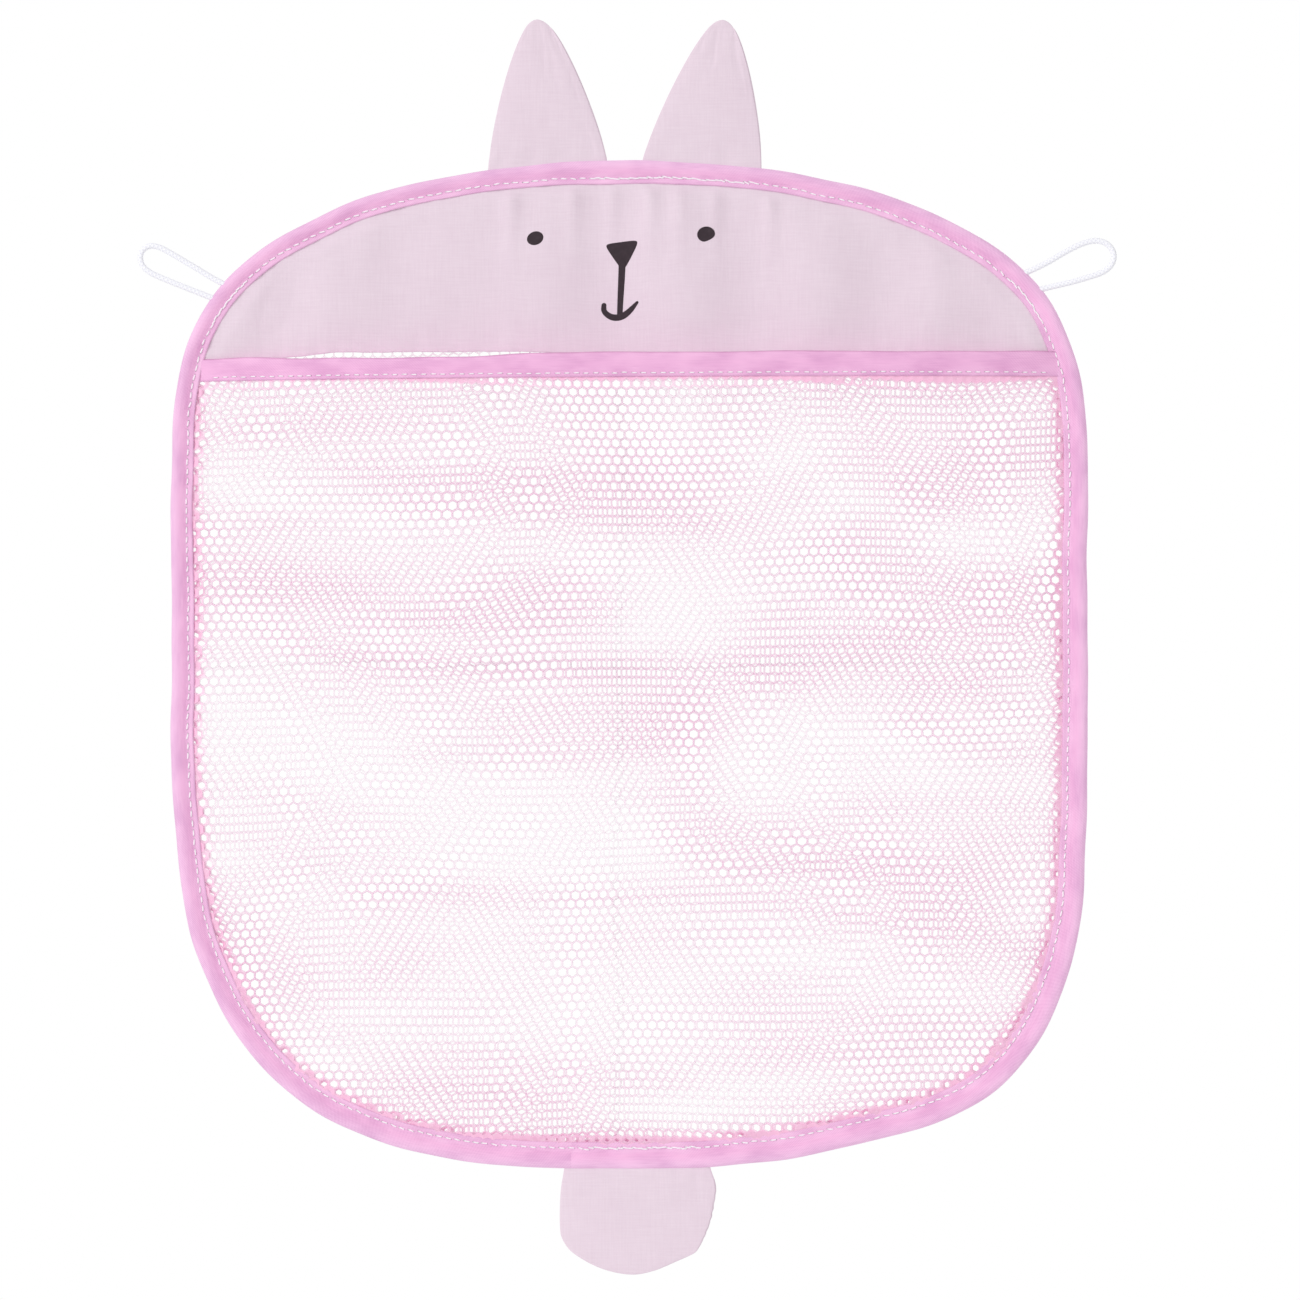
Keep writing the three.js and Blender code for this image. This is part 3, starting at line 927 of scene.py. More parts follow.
@dataclass(frozen=True)
class FoldedTape:
    """Tape folded in half over an edge: a front leaf and a back leaf that meet in a round fold."""

    thickness: float
    half_depth: float
    fold_reach: float
    front_columns: int = 19
    back_columns: int = 13
    crowding: float = 1.5

    def shares(self) -> tuple[Array, Array]:
        """Shares of the width from one leaf's edge to the fold and on to the other's, closest at the fold."""
        front, back = np.linspace(1.0, 0.0, self.front_columns), np.linspace(0.0, 1.0, self.back_columns)[1:]
        return front**self.crowding, back**self.crowding

    def fold(self, drop: Array) -> Array:
        """How much of its half depth a leaf has at a distance from the fold: a quarter ellipse, then 1."""
        return np.sqrt(1.0 - (1.0 - np.clip(drop / self.fold_reach, 0.0, 1.0)) ** 2)


@dataclass(frozen=True)
class PocketForm:
    """How far forward the pocket's net stands: it rises from the sewn edges and keeps soft rumples."""

    outline: BagOutline
    rim_bottom: float
    seat: float = 2.35
    level: float = 3.2
    depth: float = 18.0
    reach: float = 58.0
    seam: float = 8.0
    rumple_fade: float = 45.0
    rim_fade: float = 30.0
    level_reach: float = 5.0
    rumple: Ripple = Ripple(seed=11, height=1.5, shortest=38.0, longest=95.0, heading=35.0, spread=60.0)

    def y(self, x: Array, z: Array) -> Array:
        """Place of the net's middle from front to wall.

        Args:
            x: places across.
            z: heights; above the rim's lower edge the net stands upright.

        Returns:
            The depth times the product of 1 - exp(-d / reach) over the distances d from the two sides and the
            foot, and rumples that fade towards the seams, all taken forward from the seat in the seam.
        """
        low = np.minimum(z, self.rim_bottom)
        left = x - self.outline.side_edge(low, Side.LEFT) - self.seam
        right = self.outline.side_edge(low, Side.RIGHT) - x - self.seam
        foot = low - self.outline.base_edge(x) - self.seam
        nearest = np.clip(np.minimum(np.minimum(left, right), foot), 0.0, None)
        rise = np.ones_like(nearest)
        for distance in (left, right, foot):
            rise = rise * (1.0 - np.exp(-np.clip(distance, 0.0, None) / self.reach))
        fade = smooth_step(nearest / self.rumple_fade) * smooth_step((self.rim_bottom - z) / self.rim_fade)
        lift = (self.level - self.seat) * (1.0 - np.exp(-nearest / self.level_reach))
        return -(self.seat + lift + self.depth * rise + fade * self.rumple.at(x, z))


@dataclass(frozen=True)
class HexNet:
    """Knitted net with hexagonal gaps: strands of diamond section that meet three at a time."""

    pitch: float = 3.6
    row_pitch: float = 3.03
    strand: float = 0.66
    depth: float = 0.46
    turn: float = 0.0
    bunching: float = 2.0
    bunch_reach: float = 1.6
    closing: float = 0.0
    closes_from: float = 0.45
    closes_over: float = 0.2
    least_gap: float = 0.03
    flat_from: float = 0.12
    upper_seam: float = math.inf
    gather: float = 0.4
    gather_reach: float = 16.0
    end_share: float = 0.25
    spare_across: float = 1.2
    spare_up: float = 1.24
    drift_across: Ripple = Ripple(seed=1, height=1.0, shortest=70.0, longest=150.0)
    drift_up: Ripple = Ripple(seed=2, height=1.0, shortest=70.0, longest=150.0)

    @property
    def cover(self) -> float:
        """Area of the strands' sloping faces on one side, as a share of the net's flat area."""
        open_share = 1.0 - self.strand / self.pitch
        return (1.0 - open_share**2) * math.hypot(1.0, self.depth / self.strand)

    def drawn(self, x: Array, z: Array) -> tuple[Array, Array]:
        """Places of the net's own flat pattern once it is turned a little and drawn about by the sewing."""
        cos, sin = math.cos(math.radians(self.turn)), math.sin(math.radians(self.turn))
        return cos * x - sin * z + self.drift_across.at(x, z), sin * x + cos * z + self.drift_up.at(x, z)

    def cells(self, outline: BagOutline) -> tuple[Array, Array, Array]:
        """All gaps that could lie in the bag.

        Args:
            outline: the bag's edge.

        Returns:
            Whole-number places of the gaps in half pitches and thirds of rows, and where their middles lie.
        """
        reach = outline.half_width * self.spare_across
        tall = (outline.crown_height + outline.side_length + outline.base_height) * self.spare_up / 2
        rows = int(tall / self.row_pitch)
        columns = int(reach / self.pitch)
        row, column = np.meshgrid(np.arange(-rows, rows + 1), np.arange(-columns, columns + 1), indexing="ij")
        place = np.stack([2 * column + row % 2, 3 * row], axis=-1).reshape(-1, 2)
        x, z = self.drawn(*self.flat(place, outline))
        return place, x, z

    def flat(self, place: Array, outline: BagOutline) -> tuple[Array, Array]:
        """Places in the flat net, in millimetres, of whole-number places."""
        return place[..., 0] * self.pitch / 2, place[..., 1] * self.row_pitch / 3 + outline.middle

    def in_seam(self, binding: "EdgeBinding", x: Array, z: Array) -> Array:
        """1 where the net is caught in its seams, falling to 0 away from them."""
        below = np.clip(self.upper_seam - z, 0.0, None)
        return np.exp(-np.minimum(np.clip(binding.from_lip(x, z), 0.0, None), below) / self.bunch_reach)

    def gathered(self, z: Array) -> Array:
        """How much wider the strands are where the net is gathered into its upper seam."""
        return self.gather * np.exp(-np.clip(self.upper_seam - z, 0.0, None) / self.gather_reach)

    def build(
        self,
        name: str,
        place: Array,
        binding: "EdgeBinding",
        y_at: Callable[[Array, Array], Array],
        material: Material,
    ) -> Piece:
        """Make the strands round the given gaps.

        Args:
            name: the piece's name.
            place: whole-number places of the gaps.
            binding: the tape that the net is sewn into.
            y_at: function of x and z that gives the net's middle from front to wall.
            material: its finish.

        Returns:
            The object. Each strand has a ridge to the front and one to the back along the line between two
            gaps, and slopes down to the rim of the gap on either side. The gaps may close up at a tape's lip.
            Where there is no gap beyond a strand, it is flattened, and a low wall joins its two ridges.
        """
        corner_steps = np.array([[0, 2], [1, 1], [1, -1], [0, -2], [-1, -1], [-1, 1]])
        corners = place[:, None] + corner_steps
        wide = 100_000
        keys = (corners[..., 0] + wide // 2) * wide + corners[..., 1] + wide // 2
        knots, knot_of = np.unique(keys, return_inverse=True)
        knot_of = knot_of.reshape(keys.shape)
        knot_place = np.stack([knots // wide - wide // 2, knots % wide - wide // 2], axis=1)
        knot_x, knot_z = self.drawn(*self.flat(knot_place, binding.outline))
        middle_x, middle_z = (values[knot_of].mean(axis=1, keepdims=True) for values in (knot_x, knot_z))
        in_seam = self.in_seam(binding, middle_x, middle_z)
        shut = self.closing * smooth_step((in_seam - self.closes_from) / self.closes_over)
        wider = 1.0 + self.gathered(middle_z) + self.bunching * in_seam + shut
        inward = np.minimum(self.strand / self.pitch * wider, 1.0 - self.least_gap)
        rim_x = knot_x[knot_of] * (1 - inward) + middle_x * inward
        rim_z = knot_z[knot_of] * (1 - inward) + middle_z * inward
        knot_y, rim_y = y_at(knot_x, knot_z), y_at(rim_x, rim_z)
        count = len(knots)
        a, b = knot_of, np.roll(knot_of, -1, axis=1)
        strands = np.minimum(a, b) * count + np.maximum(a, b)
        _, first, uses = np.unique(strands, return_inverse=True, return_counts=True)
        alone = (uses[first] == 1).reshape(a.shape)
        half = np.full(count, self.depth / 2)
        half[np.concatenate([a[alone], b[alone]])] *= self.end_share
        points = np.concatenate([
            np.stack([knot_x, knot_y - half, knot_z], axis=-1),
            np.stack([knot_x, knot_y + half, knot_z], axis=-1),
            np.stack([rim_x, rim_y, rim_z], axis=-1).reshape(-1, 3),
        ])
        rim_a = 2 * count + np.arange(knot_of.size).reshape(knot_of.shape)
        rim_b = np.roll(rim_a, -1, axis=1)
        front = np.stack([a, rim_a, rim_b, b], axis=-1)
        back = np.stack([a + count, b + count, rim_b, rim_a], axis=-1)
        walls = np.stack([a, b, b + count, a + count], axis=-1)[alone]
        faces = np.vstack([front.reshape(-1, 4), back.reshape(-1, 4), walls])
        share = np.broadcast_to(in_seam, a.shape)
        share = np.concatenate([share.ravel(), share.ravel(), share[alone]])
        order = np.argsort(share, kind="stable")
        uv = np.stack(np.broadcast_arrays(share[order, None], np.zeros((1, 4))), axis=-1)
        flat = int((share > self.flat_from).sum())
        return make_piece(name, points, [faces[order]], material, [uv], flat_last=flat)


@dataclass
class EdgeBinding:
    """Tape sewn over the bag's whole edge, with its stitches on both sides."""

    outline: BagOutline
    tape: FoldedTape
    middle: float
    front_width: float = 8.6
    wider_right: float = 0.45
    wider_foot: float = 0.95
    back_extra: float = -0.1
    puff: float = 0.28
    stitch_inset: float = 2.1
    stitch_pitch: float = 3.5
    stitch_dent: float = 0.28
    dent_reach: float = 0.75
    back_dent: float = 0.7
    crease_from: float = 1.5
    join_ease: float = 0.6
    join_slant: float = 0.25
    press: float = 1.1
    front_bed: float = 0.75
    back_bed: float = 0.5
    wider_ears: float = 1.0
    ears_place: float = -8.0
    ears_reach: float = 28.0
    path_step: float = 1.4
    creases: int = 64
    join_length: float = 9.0
    join_step: float = 0.3
    wall_gap: float = 0.05
    lining_gap: float = 0.1
    ear_span: Pair = (-10.0, 47.0)
    tail_span: Pair = (-19.0, 23.0)
    loop_span: Pair = (141.0, 153.0)
    path: EdgePath = field(init=False)

    def __post_init__(self) -> None:
        """Lay the tape's path along the bag's edge, wandering a little but for where its ends meet."""
        path = self.outline.path(self.path_step)
        wander = Ripple(seed=5, height=0.22, shortest=24.0, longest=80.0, spread=0.0).at(path.along, 0.0)
        ends = np.minimum(path.along, path.length - path.along)
        shifted = path.points + path.outward * (wander * smooth_step(ends / 20.0))[:, None]
        self.path = EdgePath(shifted, path.outward, path.along, path.length)

    def width(self, points: Array) -> Array:
        """Width of the front leaf.

        Args:
            points: points of the edge, in x and z.

        Returns:
            Widths, narrow over the crown but for the ears, and wide at the foot and right.
        """
        tall = (self.outline.crown_height + self.outline.side_length + self.outline.base_height) / 2
        across = self.wider_right * points[:, 0] / self.outline.half_width
        up = (points[:, 1] - self.outline.middle) / tall
        ears = self.wider_ears * bell(points[:, 0] - self.ears_place, self.ears_reach) * (up > 0.0)
        return self.front_width + across + ears - self.wider_foot * up

    def from_lip(self, x: Array, z: Array) -> Array:
        """How far points inside the bag lie from the lip of the tape's front leaf.

        Args:
            x: places across.
            z: heights.

        Returns:
            Distances from the nearest point of the edge, less the leaf's width there.
        """
        edge = self.path.points
        squared = (np.ravel(x)[:, None] - edge[:, 0]) ** 2 + (np.ravel(z)[:, None] - edge[:, 1]) ** 2
        nearest = squared.argmin(axis=1)
        return (np.sqrt(squared.min(axis=1)) - self.width(edge)[nearest]).reshape(np.shape(x))

    def creased(self, along: Array, drop: Array, width: Array) -> Array:
        """Depth of the tape's creases and gathers.

        Args:
            along: places along the edge.
            drop: distances in from the fold.
            width: the leaf's width there.

        Returns:
            The sum of slanting creases, each a bell across its line and strongest near the leaf's edge, and
            of fine gathers that grow towards that edge.
        """
        random = np.random.default_rng(21)
        start = random.uniform(0.0, self.path.length, self.creases)
        slant = random.uniform(-1.1, 1.1, self.creases)
        depth = random.uniform(0.06, 0.34, self.creases)
        reach = random.uniform(0.9, 2.6, self.creases)
        line = along[..., None] - start - slant * (drop[..., None] - 4.0)
        toward_edge = smooth_step(drop / width * 1.25)
        total = (depth * bell(line, reach)).sum(-1) * toward_edge
        gathers = Ripple(seed=8, height=0.09, shortest=4.5, longest=13.0, heading=0.0, spread=14.0)
        swells = Ripple(seed=9, height=0.12, shortest=18.0, longest=60.0, heading=0.0, spread=8.0)
        return total + gathers.at(along, 4.0 * drop) * toward_edge**2 + swells.at(along, drop)

    def overlap(self, along: Array, drop: Array) -> Array:
        """1 where the tape's end lies over its start, and 0 beyond that slanting stretch."""
        place = along - self.join_slant * drop
        return smooth_step(place / self.join_ease) * smooth_step((self.join_length - place) / self.join_ease)

    def y(self, face: Face, along: Array, drop: Array, width: Array) -> Array:
        """Outer surface of one leaf.

        Args:
            face: which leaf.
            along: places along the edge.
            drop: distances in from the fold.
            width: width of the front leaf there, which sets the stitch line.

        Returns:
            Places from front to wall: the round fold, a swell between the fold and the stitches, the leaf
            drawn in evenly as far as the stitches, a dent along them, creases, and the step where the ends
            overlap, never deeper than the nets and the cloth that the leaf lies on.
        """
        line = width - self.stitch_inset
        dent = self.stitch_dent * bell(drop - line, self.dent_reach)
        pressed = self.press * np.clip(drop / line, 0.0, 1.0)
        fold = self.tape.fold(drop)
        creases = self.creased(along, drop, width) * smooth_step(drop / self.crease_from)
        if face is Face.FRONT:
            swell = self.puff * np.sin(np.pi * np.clip(drop / line, 0.0, 1.0)) ** 0.8
            proud = self.join_step * self.overlap(along, drop) * smooth_step(drop / 2.0)
            leaf = self.middle - (self.tape.half_depth + swell + proud - pressed) * fold + dent + creases
            return np.minimum(leaf, self.middle - self.front_bed * fold)
        flat = self.middle + self.tape.half_depth * fold - pressed
        leaf = np.minimum(flat - self.back_dent * dent - np.abs(creases), -self.wall_gap)
        return np.maximum(leaf, self.middle + self.back_bed * fold)

    def build(self, material: Material) -> Piece:
        """Carry the folded section round the edge, with its inner faces a tape's thickness inside."""
        path = self.path
        front, back = self.tape.shares()
        width = self.width(path.points)[:, None]
        along = path.along[:, None]
        front_drop = width * front
        back_drop = (width + self.back_extra) * back
        front_y = self.y(Face.FRONT, along, front_drop, width)
        back_y = self.y(Face.BACK, along, back_drop, width)
        front_y[:, -1] = self.middle
        lining_back = np.maximum(back_drop[:, ::-2], self.tape.thickness)
        lining_front = np.maximum(front_drop[:, ::2][:, ::-1], self.tape.thickness)
        lining_back_y = np.maximum(back_y[:, ::-2] - self.tape.thickness, self.middle + self.lining_gap)
        lining_front_y = np.minimum(
            front_y[:, ::2][:, ::-1] + self.tape.thickness, self.middle - self.lining_gap
        )
        drop = np.hstack([front_drop, back_drop, lining_back, lining_front])
        y = np.hstack([front_y, back_y, lining_back_y, lining_front_y])
        inward = path.points[:, None] - path.outward[:, None] * drop[..., None]
        rings = np.stack([inward[..., 0], y, inward[..., 1]], axis=-1)
        shares = np.concatenate([-front, back * UNDER_SHARE, back[::-2] * UNDER_SHARE, -front[::2][::-1]])
        across = shares * self.front_width
        places, around = np.append(path.along, path.length), np.append(across, across[0])
        return make_tube("edge_binding_tape", rings, material, places, around, capped=False)

    def tack_rows(self, places: Array) -> Array:
        """Find where the seam goes over the edge twice.

        Args:
            places: points of the edge, in x and z.

        Returns:
            Whether each point lies at the ears, the tail or a loop.
        """
        x, z = places.T
        top, foot = z > self.outline.middle, z < self.outline.middle
        ears = top & (x > self.ear_span[0]) & (x < self.ear_span[1])
        tail = foot & (x > self.tail_span[0]) & (x < self.tail_span[1])
        loops = top & (np.abs(x) > self.loop_span[0]) & (np.abs(x) < self.loop_span[1])
        return ears | tail | loops

    def stitches(self, face: Face, material: Material) -> Piece:
        """Stitch line on one leaf, sewn over twice where something is caught in the seam.

        Args:
            face: which leaf.
            material: the thread.

        Returns:
            The piece.
        """
        random = np.random.default_rng(31)
        count = int(self.path.length / self.stitch_pitch)
        along = np.arange(count) * self.path.length / count + random.normal(0.0, 0.12, count)
        aside = random.normal(0.0, 0.09, count)
        again = self.tack_rows(self.path.at(along, self.path.points))
        along = np.concatenate([along, along[again] + self.stitch_pitch * 0.5])
        aside = np.concatenate([aside, aside[again] + random.choice([-0.3, 0.2], int(again.sum()))])
        edge = self.path.at(along, self.path.points)
        outward = self.path.at(along, self.path.outward)
        width = self.width(edge)
        drop = width - self.stitch_inset + aside
        inward = edge - outward * drop[:, None]
        y = self.y(face, along, drop, width)
        slant = np.radians(random.normal(5.0, 5.0, len(along)))[:, None]
        ahead = np.stack([-outward[:, 1], np.zeros(len(along)), outward[:, 0]], axis=1)
        sideways = np.stack([outward[:, 0], np.zeros(len(along)), outward[:, 1]], axis=1)
        direction = ahead * np.cos(slant) + sideways * np.sin(slant)
        away = np.tile([0.0, float(face.value), 0.0], (len(along), 1))
        centres = np.stack([inward[:, 0], y, inward[:, 1]], axis=1)
        name = f"edge_stitches_{face.name.lower()}"
        return SewnStitches().build(name, centres, direction, away, material)


@dataclass
class FacePanel:
    """Cloth face above the pocket: puckered under the top seam, with a turned hem and a printed face."""

    outline: BagOutline
    edge: EdgePath
    hem_height: float = 49.55
    hem_turn: float = 7.0
    hem_radius: float = 0.5
    hem_lift: float = 0.3
    gape_place: float = -50.0
    gape_reach: float = 30.0
    low_left: float = 2.9
    low_right: float = 1.25
    seam_inset: float = 2.6
    level: float = 2.6
    nearest: float = 2.55
    thickness: float = 0.4
    pucker_places: tuple[float, ...] = (-42.4, -20.2, -6.3, 7.3, 17.7, 30.6, 50.3)
    pucker_depth: float = 2.3
    pucker_width: float = 2.7
    pucker_fall: float = 26.0
    seam_end: float = 8.4
    seam_ease: float = 6.0
    seam_pull_reach: float = 20.0
    hem_pull_reach: float = 6.0
    fold_start: float = 10.0
    fold_ease: float = 16.0
    hem_ease: float = 14.0
    stand: float = 0.8
    belly: float = 1.3
    belly_ease: float = 45.0
    columns: int = 260
    rows: int = 46
    print_lift: float = 0.05
    print_step: float = 0.006
    print_thickness: float = 0.04
    crown: Array = field(init=False)
    reach: float = field(init=False)

    def __post_init__(self) -> None:
        """Find the panel's upper edge, hidden under the binding."""
        crown = self.edge.inset(self.seam_inset)
        crown = crown[crown[:, 1] > self.outline.shoulder + self.hem_height - 4.0]
        self.crown = crown[np.argsort(crown[:, 0])]
        self.reach = float(np.abs(self.crown[:, 0]).max())

    def top(self, x: Array) -> Array:
        """Height of the panel's upper edge at x."""
        return np.interp(x, self.crown[:, 0], self.crown[:, 1])

    def hem(self, x: Array) -> Array:
        """Height of the hem's fold.

        Args:
            x: places across.

        Returns:
            Heights, lifted where the mouth gapes, and lower to both sides, behind the rim.
        """
        gape = self.hem_lift * bell(x - self.gape_place, self.gape_reach)
        left, right = smooth_step((-x - 100.0) / 38.0), smooth_step((x + 34.0) / 24.0)
        low = self.low_left * left + self.low_right * right
        frayed = Ripple(seed=15, height=0.14, shortest=7.0, longest=30.0, spread=0.0).at(x, 0.0)
        return self.outline.shoulder + self.hem_height + gape - low + frayed

    def y(self, x: Array, z: Array) -> Array:
        """Front surface of the cloth.

        Args:
            x: places across.
            z: heights.

        Returns:
            Places from front to wall: puckers that fade below the top seam, some of them gathered into
            ridges, small pulls along the hem, and soft folds down the cloth, all clear of the back net.
        """
        below = np.clip(self.outline.below_crown(x, z), 0.0, None)
        seam = smooth_step((below - self.seam_end) / self.seam_ease)
        puckers = Ripple(seed=3, height=0.42, shortest=11.0, longest=26.0, spread=9.0).at(x, z)
        folds = Ripple(seed=4, height=1.5, shortest=24.0, longest=62.0, spread=14.0).at(x, z)
        hem_pulls = Ripple(seed=6, height=0.16, shortest=6.0, longest=15.0, spread=6.0).at(x, z)
        above = np.clip(z - self.hem(x), 0.0, None)
        deep = smooth_step((below - self.fold_start) / self.fold_ease)
        free = (0.3 + 0.6 * deep) * (0.4 + 0.6 * smooth_step(above / self.hem_ease))
        relief = puckers * np.exp(-below / self.seam_pull_reach) + folds * free
        relief = relief + hem_pulls * np.exp(-above / self.hem_pull_reach)
        for place in self.pucker_places:
            ridge = bell(x - place, self.pucker_width) * np.exp(-below / self.pucker_fall)
            relief = relief + self.pucker_depth * ridge
        settled = smooth_step((below - self.fold_start) / self.belly_ease)
        forward = self.level + (self.stand + relief) * seam + self.belly * settled
        return np.minimum(-forward, -self.nearest)

    def build(self, material: Material) -> Piece:
        """Lay the cloth from the top seam down to the hem, round its fold and up behind itself."""
        share = np.sin(np.linspace(-np.pi / 2, np.pi / 2, self.columns))
        x = (self.reach - 0.3) * (0.45 * share + 0.55 * np.linspace(-1.0, 1.0, self.columns))
        hem, top = self.hem(x), self.top(x)
        top = np.maximum(top, hem + 0.4)
        down = np.linspace(0.0, 1.0, self.rows)[:, None]
        front_z = top + (hem - top) * down
        front_y = self.y(x[None], front_z)
        turn = np.linspace(0.0, np.pi, 7)[1:, None]
        fold_z = hem - self.hem_radius * np.sin(turn)
        fold_y = front_y[-1] + self.hem_radius * (1.0 - np.cos(turn))
        up = np.linspace(0.0, 1.0, 6)[1:, None]
        turned = np.minimum(self.hem_turn, (top - hem) * 0.8)
        back_z = hem + turned * up
        back_y = self.y(x[None], back_z) + 2.0 * self.hem_radius
        z = np.vstack([front_z, fold_z, back_z])
        y = np.vstack([front_y, fold_y, back_y])
        points = np.stack([np.broadcast_to(x, z.shape), y, z], axis=-1)
        steps = np.hypot(np.diff(z, axis=0), np.diff(y, axis=0))
        drop = np.vstack([np.zeros(self.columns), np.cumsum(steps, axis=0)])
        uv = np.stack([np.broadcast_to(x, z.shape), top - drop], axis=-1)
        panel = make_sheet("face_panel_cloth", points, uv, material, self.thickness)
        return panel

    def on_cloth(self, x: Array, z: Array) -> Array:
        """Points just in front of the cloth at x and z."""
        return np.stack([x, self.y(x, z) - self.print_lift, z], axis=-1)

    def blot(self, middle: Pair, angle: Array, radius: Array, steps: int = 25) -> tuple[Array, Array]:
        """A round patch of ink, laid out as a square grid that is drawn out to the patch's rim.

        Args:
            middle: its middle in x and z.
            angle: angles round it, in order.
            radius: its radius at those angles.
            steps: points along each side of the grid.

        Returns:
            Rows of points. A grid point at (a, b) goes to (a sqrt(1 - b^2 / 2), b sqrt(1 - a^2 / 2)) in a
            round disc, and from there out to the same share of the radius at its angle.
        """
        even = np.linspace(-1.0, 1.0, steps)
        a, b = np.meshgrid(even, even, indexing="ij")
        across, up = a * np.sqrt(1.0 - b**2 / 2), b * np.sqrt(1.0 - a**2 / 2)
        turn = np.arctan2(up, across)
        reach = np.hypot(across, up) * np.interp(turn, angle, radius, period=2 * np.pi)
        x = middle[0] + reach * np.cos(turn)
        z = middle[1] + reach * np.sin(turn)
        return self.on_cloth(x, z), np.stack([x, z], axis=-1)

    def stroke(self, line: Array, widths: tuple[float, ...]) -> tuple[Array, Array]:
        """A brush stroke of ink along a line.

        Args:
            line: points that the stroke's middle goes through.
            widths: its widths at even steps from end to end.

        Returns:
            Rows of points along the stroke, each row across it. Both ends are rounded by a half ellipse.
        """
        path = catmull_rom(line, 0.18)
        share = np.linspace(0.0, 1.0, len(path))
        width = np.interp(share, np.linspace(0.0, 1.0, len(widths)), widths)
        long = length_so_far(path)[-1]
        from_end = np.minimum(share, 1 - share) * long / (width / 2)
        half = width / 2 * np.sqrt(1 - (1 - np.clip(from_end, 0.0, 1.0)) ** 2) + 0.01
        ahead = unit(np.gradient(path, axis=0))
        across = np.linspace(-1.0, 1.0, 7)
        x = path[:, :1] - ahead[:, 1:] * half[:, None] * across
        z = path[:, 1:] + ahead[:, :1] * half[:, None] * across
        return self.on_cloth(x, z), np.stack([x, z], axis=-1)

    def print_face(self, material: Material) -> Piece:
        """Two dot eyes, a rounded triangle for the nose, and an anchor-shaped mouth on a stem."""
        angle = np.linspace(0.0, 2 * np.pi, 145)

        def oval(half: tuple[float, float], tilt: float) -> Array:
            """Radius of an ellipse at each angle: ab / sqrt((b cos)^2 + (a sin)^2), turned by the tilt."""
            a, b = half
            turned = angle - math.radians(tilt)
            return a * b / np.hypot(b * np.cos(turned), a * np.sin(turned))

        def cut_flat(radius: Array, facing: float, distance: float) -> Array:
            """A radius cut by a straight edge, with rounded corners: the sixth-power mean of both limits."""
            reach = np.clip(np.cos(angle - math.radians(facing)), 0.0, None) / distance
            return (radius**-6.0 + reach**6.0) ** (-1 / 6.0)

        nose = np.full_like(angle, 7.4)
        for facing, distance in ((97.5, 3.2), (-27.0, 3.95), (214.5, 4.0)):
            nose = cut_flat(nose, facing, distance)
        stem = np.array([[-2.55, -1.2], [-2.85, -8.0], [-3.2, -15.0], [-3.55, -22.4]])
        smile = np.array(
            [[-9.1, -16.8], [-9.0, -19.8], [-6.6, -21.8], [-3.4, -21.9], [-0.4, -20.1], [3.1, -16.3]]
        )
        shapes = [
            self.blot((-33.7, 6.2), angle, oval((3.0, 2.4), 20.0)),
            self.blot((27.4, 7.6), angle, cut_flat(oval((3.2, 2.8), 10.0), -62.0, 2.45)),
            self.blot((-2.7, 1.75), angle, nose),
            self.stroke(stem, (2.5, 2.35, 2.1, 1.9)),
            self.stroke(smile, (1.65, 1.95, 2.25, 2.3, 1.85, 0.8)),
        ]
        grids, faces, uvs, count = [], [], [], 0
        for order, (grid, spread) in enumerate(shapes):
            row, column = grid_corners(*grid.shape[:2], False, False)
            grids.append((grid - np.array([0.0, self.print_step, 0.0]) * order).reshape(-1, 3))
            faces.append(row * grid.shape[1] + column + count)
            uvs.append(spread[row, column])
            count += grid.shape[0] * grid.shape[1]
        points, quads, uv = np.concatenate(grids), np.vstack(faces), np.concatenate(uvs)
        first, second, third = (points[quads[:, k]] for k in range(3))
        away = np.cross(second - first, third - first)[:, 1] > 0
        quads[away] = quads[away][:, ::-1]
        uv[away] = uv[away][:, ::-1]
        ink = make_piece("face_print", points, [quads], material, [uv], closed=False)
        thicken(ink, self.print_thickness)
        return ink


